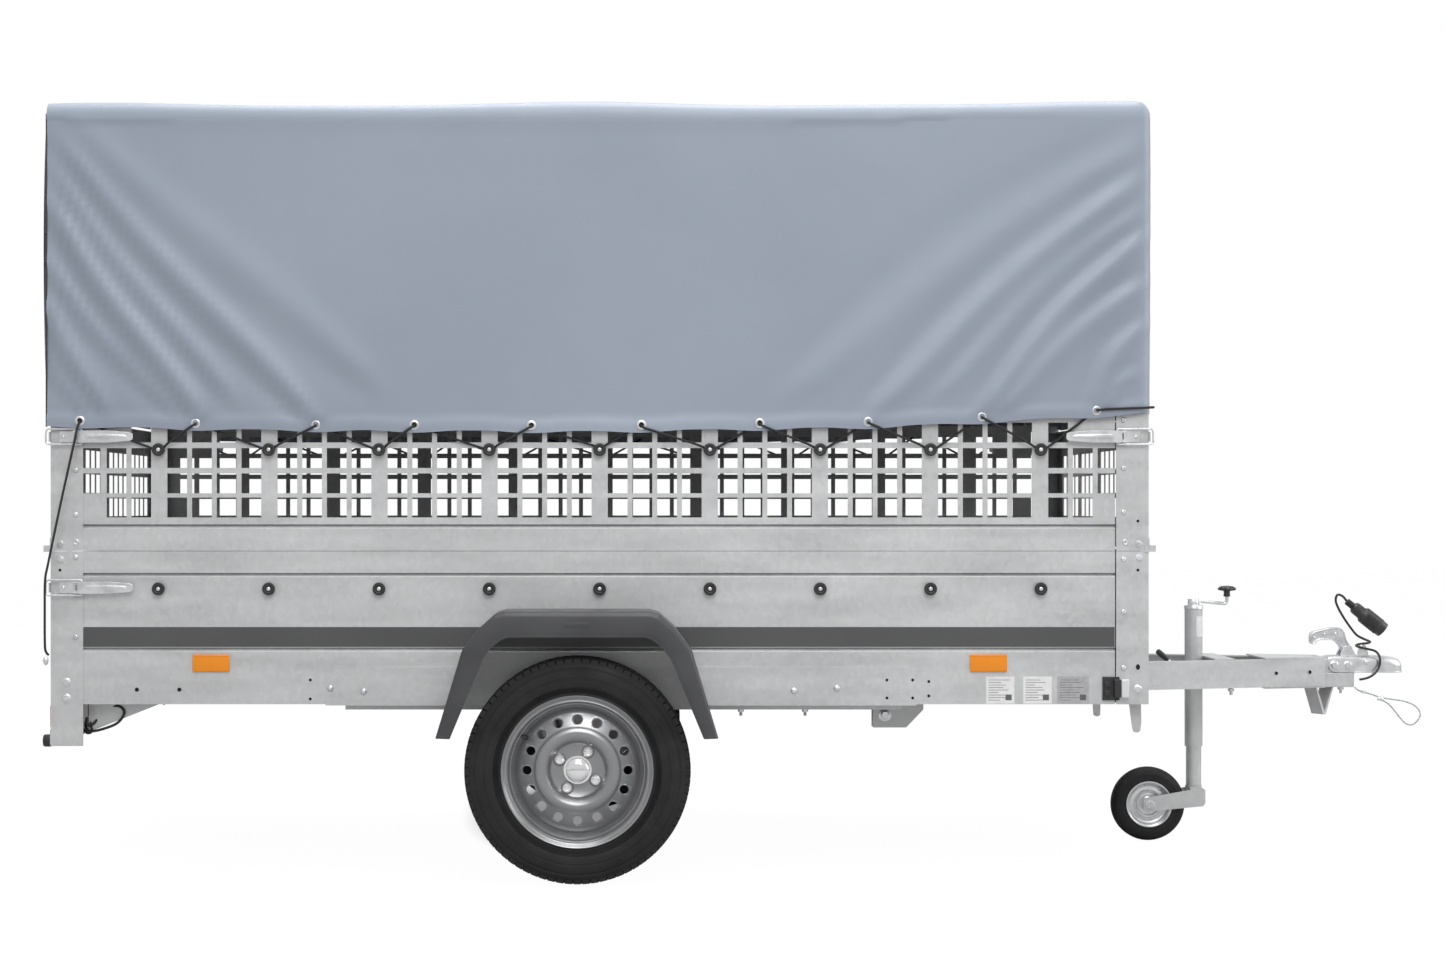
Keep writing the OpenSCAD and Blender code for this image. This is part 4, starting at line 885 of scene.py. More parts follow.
for side_name, sign in (("left", 1), ("right", -1)):
    place = outward(sign, wheel_x, wheel_z, wheel_y)
    rim = loose("rim_shell_" + side_name, lathe(rim_outline, steps=128))
    cutters = []
    for k in range(16):
        spin = Matrix.Rotation(2 * math.pi * k / 16, 4, "Z")
        cutters.append(moved(lathe([(0, 0), (0.0108, 0), (0.0108, 0.06), (0, 0.06)], steps=24),
                             spin @ Matrix.Translation((0.1215, 0, 0.01))))
    for k in range(4):
        spin = Matrix.Rotation(math.radians(60 + 90 * k), 4, "Z")
        cutters.append(moved(lathe([(0, 0), (0.0066, 0), (0.0066, 0.06), (0, 0.06)], steps=20),
                             spin @ Matrix.Translation((0.050, 0, 0.0))))
    cutter = loose("rim_cutter", joined(*cutters))
    for obj in (rim, cutter):
        work = bmesh.new()
        work.from_mesh(obj.data)
        bmesh.ops.remove_doubles(work, verts=work.verts, dist=1e-6)
        bmesh.ops.recalc_face_normals(work, faces=work.faces)
        work.to_mesh(obj.data)
        work.free()
    cut = rim.modifiers.new("vents", "BOOLEAN")
    cut.operation = "DIFFERENCE"
    cut.object = cutter
    baked(rim)
    bpy.data.objects.remove(cutter)
    rim.data.transform(place)
    settle(rim, rim_paint, "wheel_" + side_name, 40, ("rim_" + side_name,))
    lips = [moved(lathe(vent_ring + [(0.0108, 0)], steps=24),
                  place @ Matrix.Rotation(2 * math.pi * k / 16, 4, "Z")
                  @ Matrix.Translation((0.1215, 0, 0.0332))) for k in range(16)]
    seats = [moved(lathe([(0.0066, 0), (0.0120, 0.0040), (0.0135, 0.0036), (0.0160, -0.0002), (0.0066, 0)],
                         steps=28),
                   place @ Matrix.Rotation(math.radians(60 + 90 * k), 4,
                                           "Z") @ Matrix.Translation((0.050, 0, 0.0254)))
             for k in range(4)]
    piece("rim_lips_" + side_name, *joined(*lips, *seats), rim_paint, "wheel_" + side_name, "rim_paint")
    piece("valve_" + side_name, *moved(lathe(valve_outline, steps=16),
                                       place @ Matrix.Rotation(math.radians(148), 4, "Z")
          @ Matrix.Translation((0.146, 0, 0.022)) @ Matrix.Rotation(math.radians(12), 4, "Y")),
          rubber, "wheel_" + side_name, "black_rubber")
    piece("hub_cap_" + side_name, *moved(lathe([(0, 0.0545), (0.016, 0.0540), (0.0225, 0.0520),
                                                (0.0262, 0.0480),
          (0.0285, 0.0465), (0.0287, 0.0440), (0.0287, 0.0256), (0.0340, 0.0256), (0.0340, 0.0262),
          (0.0290, 0.0275)]
          [::-1][1:] + [(0.0290, 0.0275)], steps=48), place), chrome, "wheel_" + side_name,
          "zinc_plated_steel")
    piece("hub_body_" + side_name, *moved(lathe([
        (0.0151, -0.0450), (0.0440, -0.0450), (0.0450, -0.0440), (0.0450, 0.0135), (0.0650, 0.0140),
        (0.0650, 0.0218), (0.0284, 0.0218), (0.0284, 0.0435), (0.0, 0.0435), (0.0, 0.0302),
        (0.0151, 0.0302), (0.0151, -0.0450)]),
        place), zinc, "wheel_" + side_name, "zinc_plated_steel", replaces=("hub_" + side_name,))
    bolts = []
    for k in range(4):
        at = place @ Matrix.Rotation(math.radians(60 + 90 * k), 4, "Z") @ Matrix.Translation((0.050, 0, 0.0))
        bolts.append(moved(lathe([(0, 0.026), (0.0115, 0.027), (0.0118, 0.030), (0.0104, 0.0325),
                                  (0, 0.0325)], steps=32), at))
        bolts.append(moved(lathe([(0, 0.0320), (0.0100, 0.0320), (0.0100, 0.0410), (0.0092, 0.0424),
                                  (0.0058, 0.0428), (0.0052, 0.0412), (0, 0.0412)], steps=6), at))
    piece("wheel_bolts_" + side_name, *joined(*bolts), chrome, "wheel_" + side_name, "zinc_plated_steel",
          smooth=25)

# ---- Fenders ----
# Single-shell mudguards moulded in dark grey plastic: a flat-topped arch with rolled lips and a
# grained face, screwed to the side board.
fender_plastic = Finish("fender_plastic", (0.06, 0.061, 0.064), 0.46)
fender_plastic.colours(fender_plastic.noise(10, 3), (0.3, (0.050, 0.051, 0.054)),
                       (0.7, (0.068, 0.069, 0.072)))
fender_plastic.bump(fender_plastic.noise(700, 3), 0.35, 0.0006)
fender_plastic.roughness(fender_plastic.noise(15, 4), 0.34, 0.5)
arch_outer = [(-0.338, 0.357), (-0.274, 0.569), (-0.232, 0.621), (-0.197, 0.652), (-0.175, 0.659),
              (0.175, 0.659), (0.197, 0.652), (0.232, 0.621), (0.274, 0.569), (0.338, 0.357)]
arch_inner = [(-0.303, 0.3555), (-0.224, 0.546), (-0.203, 0.574), (-0.180, 0.592), (-0.163, 0.598),
              (0.163, 0.598), (0.180, 0.592), (0.203, 0.574), (0.224, 0.546), (0.303, 0.3555)]


def rounded(obj, width, segments=2, angle=30):
    """Rounds an object's sharp edges for good."""
    bevel = obj.modifiers.new("rounding", "BEVEL")
    bevel.width = width
    bevel.segments = segments
    bevel.limit_method = "ANGLE"
    bevel.angle_limit = math.radians(angle)
    baked(obj)
    return obj


def stepped(line, steps):
    """Points along straight runs between the corners of a line of (x, z), steps to each run."""
    runs = [np.linspace(a, b, steps, endpoint=False) for a, b in zip(line, line[1:])]
    return [tuple(p) for run in runs for p in run] + [line[-1]]


outer_line, inner_line = stepped(arch_outer, 12), stepped(arch_inner, 12)
arch_steps = len(outer_line)
# rows across the guard, from the board side over the top and down the outer face: (y, share
# towards the inner line, how far the row is sunk into the guard)
guard_rows = [(0.6665, 0.55, 0.0), (0.6670, 0.10, 0.0), (0.6690, 0.03, 0.0), (0.6740, 0.0, 0.0),
              (0.8420, 0.0, 0.0), (0.8520, 0.02, 0.0), (0.8580, 0.09, 0.0), (0.8597, 0.20, 0.0),
              (0.8597, 0.78, 0.0), (0.8590, 0.86, 0.0), (0.8578, 0.92, 0.0), (0.8578, 1.0, 0.0),
              (0.8540, 1.0, 0.0), (0.8540, 0.93, 0.0)]
for sign in (-1, 1):
    points, faces = [], []
    for y, share, sunk in guard_rows:
        for (ox, oz), (ix, iz) in zip(outer_line, inner_line):
            points.append((wheel_x + ox + (ix - ox) * share, sign * y, oz + (iz - oz) * share - sunk))
    for r in range(len(guard_rows) - 1):
        for k in range(arch_steps - 1):
            a = r * arch_steps + k
            faces.append((a, a + 1, a + arch_steps + 1, a + arch_steps))
    guard = loose("fender_shell_" + ("left" if sign > 0 else "right"), (points, faces))
    work = bmesh.new()
    work.from_mesh(guard.data)
    bmesh.ops.recalc_face_normals(work, faces=work.faces)
    # outwards is up on the guard's top
    top = max(work.faces, key=lambda f: f.calc_center_median().z)
    if top.normal.z < 0:
        bmesh.ops.reverse_faces(work, faces=work.faces)
    work.to_mesh(guard.data)
    work.free()
    solid = guard.modifiers.new("wall", "SOLIDIFY")
    solid.thickness = 0.003
    solid.offset = -1
    baked(guard)
    settle(guard, fender_plastic, "chassis", 50)
    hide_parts("fenders")
    # blank raised badge on the outer face, and the screws of the top edge
    badge = rounded(loose("fender_badge_" + ("left" if sign > 0 else "right"),
                          slab((wheel_x - 0.030, min(sign * 0.8590, sign * 0.8604), 0.622),
                               (wheel_x + 0.030, max(sign * 0.8590, sign * 0.8604), 0.634))), 0.0006)
    settle(badge, fender_plastic, "chassis")
fender_stays = [(wheel_x + dx, sign * 0.6685, z) for sign in (-1, 1)
                for dx, z in ((-0.15, 0.60), (0.15, 0.60))]
repeated("fender_screws", lathe([(0, 0), (0.007, 0), (0.007, 0.002), (0.0045, 0.0034), (0, 0.0034)],
                                steps=16), zinc,
         "chassis", fender_stays)

# ---- Stripe, labels and reflectors on the side boards ----
# A dark grey film stripe along the lower board, three blank rating labels on the sill, and a
# moulded amber reflector near each end.
film = Finish("stripe_film", (0.083, 0.084, 0.086), 0.36)
film.colours(film.noise(3, 3), (0.3, (0.078, 0.079, 0.081)), (0.7, (0.092, 0.093, 0.095)))
film.bump(film.noise(120, 3), 0.05, 0.0005)
for sign in (-1, 1):
    stripe = slab((-1.6765, min(sign * 0.6471, sign * 0.6475), 0.5635),
                  (0.8695, max(sign * 0.6471, sign * 0.6475), 0.6125))
    piece("stripe_" + ("left" if sign > 0 else "right"), *stripe, film, "chassis", "fender_plastic")
paper = Finish("label_paper", (0.82, 0.82, 0.82), 0.45)
paper.colours(paper.noise(60, 3), (0.3, (0.78, 0.78, 0.78)), (0.7, (0.86, 0.86, 0.86)))
ink = Finish("label_ink", (0.12, 0.12, 0.12), 0.5)
ink.roughness(ink.noise(60), 0.45, 0.55)
foil = Finish("label_foil", (0.5, 0.5, 0.51), 0.35, 0.6)
foil.colours(foil.noise(80, 2), (0.3, (0.46, 0.46, 0.47)), (0.7, (0.54, 0.54, 0.55)))
label_boxes = ((0.5523, 0.6224, paper), (0.6438, 0.7145, paper), (0.7280, 0.8060, foil))
for number, (x0, x1, sheet_finish) in enumerate(label_boxes):
    piece(f"label_{number}", *slab((x0, -0.6474, 0.4235), (x1, -0.6470, 0.4905)), sheet_finish, "chassis",
          "fender_plastic")
    rows = []
    for k in range(9):
        z = 0.4825 - k * 0.0062
        width = (0.9, 0.55, 0.75, 0.62, 0.85, 0.4, 0.7, 0.8, 0.5)[(k + 3 * number) % 9] * (x1 - x0 - 0.012)
        rows.append(slab((x0 + 0.006, -0.6476, z - 0.0011), (x0 + 0.006 + width, -0.6473, z)))
    rows.append(slab((x1 - 0.022, -0.6477, 0.432), (x1 - 0.007, -0.6473, 0.446)))
    piece(f"label_rows_{number}", *joined(*rows), ink, "chassis", "fender_plastic", smooth=None)
amber = Finish("amber_lens", (0.95, 0.3, 0.002), 0.22, Coat_Weight=0.25, Coat_Roughness=0.08)
cells = amber.node("TexVoronoi", feature="F1")
cells.inputs["Scale"].default_value = 420
cells.inputs["Randomness"].default_value = 0.0
amber.link(amber.place, cells.inputs["Vector"])
amber.colours(cells.outputs["Distance"], (0.0, (1.0, 0.36, 0.004)), (0.75, (0.86, 0.24, 0.001)))
amber.bump(cells.outputs["Distance"], 0.5, 0.001)
for sign in (-1, 1):
    for end, x in (("rear", -1.3595), ("front", 0.558)):
        body = rounded(loose(f"reflector_{end}_" + ("left" if sign > 0 else "right"),
                             slab((x - 0.0455, min(sign * 0.647, sign * 0.653), 0.503),
                                  (x + 0.0455, max(sign * 0.647, sign * 0.653), 0.545))), 0.0018, 3)
        settle(body, amber, "chassis")
        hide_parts("side_reflectors")
        rim_frame = joined(slab((x - 0.0425, min(sign * 0.6526, sign * 0.6534), 0.5395),
                                (x + 0.0425, max(sign * 0.6526, sign * 0.6534), 0.5420)),
                           slab((x - 0.0425, min(sign * 0.6526, sign * 0.6534), 0.5060),
                                (x + 0.0425, max(sign * 0.6526, sign * 0.6534), 0.5085)),
                           slab((x - 0.0008, min(sign * 0.6526, sign * 0.6534), 0.5085),
                                (x + 0.0008, max(sign * 0.6526, sign * 0.6534), 0.5395)))
        piece(f"reflector_frame_{end}_" + ("left" if sign > 0 else "right"), *rim_frame, amber, "chassis",
              "amber_lens", smooth=None)

# ---- Screws, bolts and holes ----
# Pan-head screws down the posts, flanged hex bolts at the corners, domed bolts through the
# reinforcement plates, threaded ends with nuts below the rails, and empty punched holes, each
# a thin black disc on the surface: painted shade for the dark inside seen through the hole.
pan_head = [(0, 0), (0.0062, 0), (0.0062, 0.0012), (0.0052, 0.0032), (0.003, 0.0042), (0.0022, 0.0042),
            (0.0018, 0.0024), (0, 0.0024)]
dome_head = [(0, 0), (0.0078, 0), (0.0078, 0.0012), (0.0066, 0.0036), (0.0042, 0.0052), (0, 0.0058)]


def hex_head(flange, across, height, washer=0.0016):
    """A hexagon head on a round washer face, drawn with +Z outwards."""
    crown = [(0, 0.0), (across / 2 * 1.1, 0.0), (across / 2 * 1.1, height * 0.82),
             (across / 2 * 0.96, height),
             (0, height)]
    points, faces = lathe(crown, steps=6)
    lifted = [p + Vector((0, 0, washer)) for p in points]
    disc = lathe([(0, 0), (flange, 0), (flange, washer * 0.7), (flange * 0.94, washer), (0, washer)],
                 steps=32)
    return joined(disc, (lifted, faces))


post_y = 0.650
rear_post_screws = [(-1.693, z) for z in (1.000, 0.890, 0.785, 0.588)]
front_post_screws = [(0.891, z) for z in (1.123, 1.005, 0.896, 0.780, 0.650, 0.512)]
repeated("post_screws", lathe(pan_head, steps=24), zinc, "chassis",
         both_sides(rear_post_screws + front_post_screws, post_y), replaces=("fasteners",))
repeated("post_rings", lathe([(0.0032, 0), (0.0068, 0), (0.0068, 0.001), (0.0055, 0.0024), (0.0032, 0.0018),
                              (0.0032, 0)], steps=24), zinc, "chassis",
         both_sides([(-1.692, 0.822), (0.895, 0.822)], post_y))
repeated("corner_bolts", hex_head(0.0088, 0.0125, 0.0045), zinc, "chassis",
         both_sides([(-1.731, 0.817), (-1.731, 0.780), (0.929, 0.817), (0.929, 0.784)], post_y))
repeated("sill_bolts", hex_head(0.0105, 0.0150, 0.0048), zinc, "chassis",
         both_sides([(-1.716, 0.477), (-1.716, 0.438), (0.9265, 0.460)], post_y))
repeated("plate_bolts", lathe(dome_head, steps=28), zinc, "chassis",
         both_sides([(-1.065, 0.462), (-0.983, 0.454), (0.078, 0.456), (0.184, 0.462)], post_y))


def studs(length, radius, nut_at):
    """A threaded end with a hexagon nut, drawn with +Z downwards from its plate."""
    thread = [(0, 0)]
    for k in range(int(length / 0.0016)):
        thread += [(radius * 0.88, k * 0.0016), (radius, k * 0.0016 + 0.0008)]
    thread += [(radius * 0.8, length), (0, length)]
    nut = lathe([(0, nut_at), (radius * 1.9, nut_at), (radius * 1.9, nut_at + radius * 1.5),
                 (0, nut_at + radius * 1.5)],
                steps=6)
    return joined(lathe(thread, steps=14), nut)


down = (math.pi, 0, 0)
repeated("rail_studs", studs(0.017, 0.004, 0.001), zinc, "chassis",
         [(x, side * 0.585, 0.4055, down) for x in (-0.05, 0.11) for side in (-1, 1)])
repeated("drawbar_studs", studs(0.020, 0.0045, 0.003), zinc, "chassis",
         [(1.284, -0.120, 0.4245, down), (1.284, 0.120, 0.4245, down), (1.612, 0, 0.4203, down)])
repeated("bracket_bolts", hex_head(0.016, 0.020, 0.006), zinc, "chassis",
         both_sides([(0.324, 0.378)], 0.440))

punched = lathe([(0, 0), (0.0036, 0), (0.0036, 0.0002), (0, 0.0002)], steps=20)
sill_holes = [(-1.115, 0.482), (-1.115, 0.435), (0.411, 0.478), (0.411, 0.4425)]
repeated("sill_holes", punched, hole_shade_paint, "chassis", both_sides(sill_holes, 0.6472))
wide_punched = moved(punched, Matrix.Scale(1.45, 4))
repeated("wide_holes", wide_punched, hole_shade_paint, "chassis",
         both_sides([(-1.543, 0.458), (-1.438, 0.458)], 0.6472))
repeated("plate_holes", punched, hole_shade_paint, "chassis",
         both_sides([(0.3075, 0.482), (0.3075, 0.4377), (0.371, 0.482), (0.371, 0.4377)], 0.6502))
repeated("post_holes", punched, hole_shade_paint, "chassis",
         both_sides([(-1.732, 0.753), (0.9264, 0.874), (0.9264, 0.753)], post_y + 0.0002))
repeated("oval_holes", moved(wide_punched, Matrix.Diagonal((1, 1.35, 1, 1))), hole_shade_paint, "chassis",
         both_sides([(0.9264, 0.514)], post_y + 0.0002))
rail_turn = math.atan2(0.365, 1.2805)


def on_rail(x, z, side):
    """A place on the outer face of a drawbar rail, facing outwards."""
    y = 0.4005 - (x - 0.362) * math.tan(rail_turn)
    return (x, side * y, z, (math.radians(-90 if side > 0 else 90), 0, -side * rail_turn))


rail_places = [on_rail(x, z, side) for side in (-1, 1) for x, z in ((1.410, 0.4616), (1.508, 0.4628))]
repeated("rail_holes", wide_punched, hole_shade_paint, "chassis", rail_places)
repeated("rail_hole_rims", lathe([(0.0052, 0), (0.0066, 0), (0.0066, 0.0005), (0.0052, 0.0007), (0.0052, 0)],
                                 steps=24), zinc, "chassis", rail_places)

# ---- Latches ----
# Each gate latch has a plate, a lever pressed from sheet with a long bead and a wire bail that
# hooks behind the gate's catch. The six differ only in their side, end and height.
latches = ("tail_left", "tail_right", "rear_left", "rear_right", "front_left", "front_right")
latch_x = -1.693
latch_heights = {"tail": 0.710, "rear": 1.082, "front": 1.082}
lever_y, bail_y = 0.659, 0.6595


def lever_shape():
    """The lever with its pivot at the origin: handle to +X, outer face to -Y."""
    rim = [(0.007, -0.015), (0.080, -0.015), (0.136, -0.0105), (0.1425, -0.0075), (0.144, 0),
           (0.1425, 0.0075), (0.136, 0.0105), (0.080, 0.015), (0.007, 0.015)]
    bead = [(0.030, -0.0065), (0.086, -0.0065), (0.124, -0.0045), (0.129, 0), (0.124, 0.0045),
            (0.086, 0.0065), (0.030, 0.0065), (0.026, 0)]
    parts = []
    for outline, low, high, shrink in ((rim, 0.005, 0.0068, 1.0), (bead, 0.0067, 0.0074, 0.86)):
        cx = sum(p[0] for p in outline) / len(outline)
        n = len(outline)
        bottom = [(x, -low, z) for x, z in outline]
        top = [(cx + (x - cx) * (1 - (1 - shrink) * 0.25), -high, z * shrink) for x, z in outline]
        faces = [tuple(range(n)), tuple(range(n, 2 * n))[::-1]]
        faces += [(k, (k + 1) % n, n + (k + 1) % n, n + k) for k in range(n)]
        parts.append((bottom + top, faces))
    for z in (-0.0105, 0.0075):
        parts.append(slab((-0.0035, -0.005, z), (0.030, 0.0045, z + 0.003)))
    # curled tip of the handle
    parts.append(tube_shape([Vector((0.1415, -0.0057, z)) for z in np.linspace(-0.0080, 0.0080, 6)],
                            0.0015, 10))
    return joined(*parts)


def bail_shape():
    """The wire bail with its eyes at the origin's plane: a rounded loop reaching to -X."""
    corner = 0.008
    path = [Vector((0.017, 0, 0.011)), Vector((0.017, 0, 0.015))]
    for cx, cz, start in ((0.017, 0.019, 0), (-0.0715, 0.019, 90), (-0.0715, -0.019, 180),
                          (0.017, -0.019, 270)):
        r = corner if cx < 0 else 0.004
        ox = cx + (r if cx < 0 else -r)
        oz = cz + (-r if cz > 0 else r)
        for k in range(6):
            a = math.radians(start + k * 18)
            path.append(Vector((ox + r * math.cos(a), 0, oz + r * math.sin(a))))
    path += [Vector((0.017, 0, -0.015)), Vector((0.017, 0, -0.011))]
    return tube_shape(path, 0.0024, 12)


def latch_base_shape():
    """The plate with its two lugs and the pivot pin, its back on the post."""
    plate = slab((-0.040, 0, -0.014), (0.026, 0.003, 0.014))
    lugs = [slab((-0.006, 0.002, z), (0.006, 0.0148, z + 0.003)) for z in (-0.014, 0.011)]
    pin = lathe([(0, -0.0152), (0.0042, -0.0152), (0.0042, -0.0142), (0.0025, -0.0142), (0.0025, 0.0142),
                 (0.0042, 0.0142), (0.0042, 0.0152), (0, 0.0152)], place=(0, 0.009, 0), steps=20)
    rivets = [moved(lathe(dome_head, steps=16), Matrix.Translation((x, 0.003, 0)) @ Matrix.Rotation(
        math.radians(-90), 4, "X") @ Matrix.Scale(0.55, 4)) for x in (-0.030, 0.019)]
    return joined(plate, *lugs, pin, *rivets)


for place_name in latches:
    end, side_name = place_name.split("_")
    side = 1 if side_name == "left" else -1
    flip = -1 if end == "front" else 1
    x = latch_x if end != "front" else 2 * body_mid - latch_x
    for part, shape, body_name, y, y_flip in (
            ("lever", lever_shape(), "latch_" + place_name, lever_y, -side),
            ("bail", bail_shape(), "wire_" + place_name, bail_y, -side),
            ("base", latch_base_shape(), "chassis", post_y, side)):
        into = Matrix.Translation((x, side * y, latch_heights[end])) @ Matrix.Diagonal((flip, y_flip, 1, 1))
        replaced = (part + "_" + place_name,) if part != "base" else ("latch_bases",)
        made = piece("latch_" + part + "_" + place_name, *moved(shape, into), zinc, body_name,
                     "zinc_plated_steel", replaces=replaced)
        if part != "bail":
            rounded(made, 0.0006)

# ---- Lamps, buffers and number plate holder ----
# Moulded black housings with glossy lenses: a lamp on a bracket at each front corner, two
# three-part rear lamps on the folded rear beam, and a rubber buffer below each rear post.
lens_white = Finish("clear_lens", (0.72, 0.73, 0.74), 0.08, Coat_Weight=0.6)
lens_white.bump(lens_white.noise(260, 1), 0.2, 0.0006)
lens_red = Finish("red_lens", (0.42, 0.012, 0.012), 0.1, Coat_Weight=0.7)
prisms = lens_red.node("TexWave", bands_direction="Y")
prisms.inputs["Scale"].default_value = 60
lens_red.link(lens_red.place, prisms.inputs["Vector"])
lens_red.bump(prisms.outputs["Fac"], 0.35, 0.0008)


def at_side(side, low, high):
    """A block whose depth is given outwards from the body's middle, on the left (1) or right (-1)."""
    y0, y1 = sorted((side * low[1], side * high[1]))
    return slab((low[0], y0, low[2]), (high[0], y1, high[2]))


for side, side_name in ((1, "left"), (-1, "right")):
    bracket = joined(at_side(side, (0.839, 0.6475, 0.432), (0.8725, 0.6525, 0.490)),
                     at_side(side, (0.8730, 0.6502, 0.432), (0.881, 0.6525, 0.490)),
                     at_side(side, (0.843, 0.6520, 0.444), (0.858, 0.6580, 0.456)),
                     at_side(side, (0.843, 0.6520, 0.466), (0.858, 0.6580, 0.478)),
                     at_side(side, (0.866, 0.6520, 0.440), (0.8815, 0.6690, 0.484)))
    rounded(piece("marker_bracket_" + side_name, *bracket, plastic, "chassis", "black_plastic",
                  replaces=("marker_lamps",)), 0.0015)
    rounded(piece("marker_lens_" + side_name,
                  *at_side(side, (0.8825, 0.6502, 0.439), (0.9025, 0.6690, 0.485)),
                  lens_white, "chassis", None), 0.004, 4)
    housing = joined(at_side(side, (-1.7755, 0.340, 0.352), (-1.7583, 0.560, 0.416)))
    rounded(piece("rear_lamp_housing_" + side_name, *housing, plastic, "chassis", "black_plastic",
                  replaces=("rear_lamps",)), 0.003, 3)
    rounded(piece("rear_lens_" + side_name, *at_side(side, (-1.7790, 0.428, 0.3555),
                                                     (-1.7700, 0.5565, 0.4125)),
                  lens_red, "chassis", "red_lens"), 0.0035, 4)
    rounded(piece("rear_turn_lens_" + side_name,
                  *at_side(side, (-1.7790, 0.3435, 0.3555), (-1.7700, 0.4265, 0.4125)),
                  amber, "chassis", "amber_lens"), 0.0035, 4)
    buffer = lathe([(0, 0), (0.013, 0), (0.0150, 0.002), (0.0155, 0.006), (0.0155, 0.017), (0.0140, 0.0205),
                    (0.0105, 0.0215), (0.0, 0.0215)],
                   Matrix.Rotation(math.radians(-90), 4, "Y"), (-1.7582, side * 0.619, 0.330), 32)
    piece("rear_buffer_" + side_name, *buffer, rubber, "chassis", "black_rubber")

beam_parts = [slab((-1.758, -0.601, 0.322), (-1.755, 0.601, 0.422)),
              slab((-1.755, -0.601, 0.322), (-1.738, 0.601, 0.325))]
beam_parts += [slab((-1.758, min(s * 0.6015, s * 0.646), 0.322), (-1.755, max(s * 0.6015, s * 0.646), 0.360))
               for s in (-1, 1)]
rounded(piece("rear_beam", *joined(*beam_parts), galvanised, "chassis", "galvanised_sheet",
              replaces=("rear_lamp_beam",)), 0.0008)
plate_holder = joined(slab((-1.7605, -0.262, 0.338), (-1.7582, 0.262, 0.414)),
                      slab((-1.7640, -0.262, 0.338), (-1.7605, 0.262, 0.342)))
rounded(piece("number_plate_holder", *plate_holder, plastic, "chassis", "black_plastic"), 0.001)

# ---- Wiring behind the rear post ----
# A moulded junction box on the gusset, with clipped looms that run to the lamps.
for side, side_name in ((1, "left"), (-1, "right")):
    box = slab((-1.676, min(side * 0.560, side * 0.596), 0.386),
               (-1.620, max(side * 0.560, side * 0.596), 0.420))
    rounded(piece("junction_box_" + side_name, *box, plastic, "chassis", "black_plastic"), 0.004, 3)
    looms = []
    for route in (((-1.640, 0.588, 0.404), (-1.600, 0.600, 0.414), (-1.583, 0.604, 0.398),
                   (-1.600, 0.606, 0.372), (-1.640, 0.606, 0.356), (-1.668, 0.604, 0.352),
                   (-1.682, 0.590, 0.362), (-1.686, 0.560, 0.380)),
                  ((-1.660, 0.590, 0.388), (-1.668, 0.598, 0.372), (-1.664, 0.600, 0.352),
                   (-1.676, 0.594, 0.346), (-1.690, 0.570, 0.352)),
                  ((-1.650, 0.590, 0.388), (-1.656, 0.602, 0.374), (-1.672, 0.604, 0.366),
                   (-1.676, 0.600, 0.386))):
        path = smooth_path([(x, side * y, z) for x, y, z in route], 6, 1)
        looms.append(tube_shape(path, 0.0034, 10))
    piece("lamp_loom_" + side_name, *joined(*looms), jacket, "chassis", "cable_jacket", smooth=60)

# The cord's end hooks and the hinge pins' nuts stand past the rear posts.
hooks = lathe([(0, -0.012), (0.0035, -0.010), (0.0062, -0.005), (0.0068, 0), (0.0062, 0.005), (0.0035, 0.010),
               (0, 0.012)], steps=20)
repeated("cord_hooks", hooks, zinc, "chassis",
         [(-1.7600, side * 0.6795, 0.532, (0, 0, 0)) for side in (-1, 1)])
repeated("hinge_nuts", hex_head(0.0085, 0.0130, 0.006), zinc, "chassis",
         [(-1.764, side * 0.564, 0.484, (math.radians(-90 * side), 0, 0)) for side in (-1, 1)])

# ---- Jockey wheel ----
# A plated leg in a split clamp, wound by a crank with a mushroom knob; its fork carries a
# solid-rubber wheel on a pressed rim.
knob_turn = 36
knob_profile = [(0, 0.664), (0.0088, 0.664), (0.0092, 0.668), (0.0080, 0.674), (0.0092, 0.679),
                (0.0240, 0.6815), (0.0258, 0.6845), (0.0240, 0.6885), (0.0160, 0.6925), (0.0, 0.694)]
knob_points, knob_faces = lathe(knob_profile, steps=knob_turn)
for k, p in enumerate(knob_points):
    grip = 1 - 0.055 * (1 + math.cos(6 * 2 * math.pi * (k // len(knob_profile)) / knob_turn))
    if math.hypot(p.x, p.y) > 0.015:
        p.x, p.y = p.x * grip, p.y * grip
    p.x += 1.3015
piece("crank_mushroom", knob_points, knob_faces, plastic, "jockey_crank", "black_plastic", smooth=50,
      replaces=("crank_knob",))
crank_path = smooth_path([(1.2185, 0, 0.651), (1.240, 0, 0.6500), (1.270, 0, 0.6470), (1.292, 0, 0.6450),
                          (1.2995, 0, 0.6475), (1.3015, 0, 0.655), (1.3015, 0, 0.666)], 6, 1)
boss = lathe([(0, 0.6303), (0.0255, 0.6303), (0.0255, 0.6385), (0.0240, 0.640), (0.0150, 0.640),
              (0.0155, 0.642), (0.0155, 0.656), (0.0145, 0.6575),
              (0, 0.6575)], place=(1.2105, 0, 0), steps=40)
screw = lathe([(0, 0.300), (0.008, 0.300), (0.008, 0.6304), (0, 0.6304)], place=(1.2105, 0, 0), steps=20)
crank_pin = lathe([(0, 0.0150), (0.0030, 0.0150), (0.0030, 0.0165), (0, 0.0172)],
                  Matrix.Rotation(math.radians(90), 4, "X"), (1.2035, 0, 0.649), 16)
piece("jockey_crank", *joined(boss, screw, tube_shape(crank_path, 0.0046, 14), crank_pin), zinc,
      "jockey_crank",
      "zinc_plated_steel", smooth=45, replaces=("jockey_spindle",))

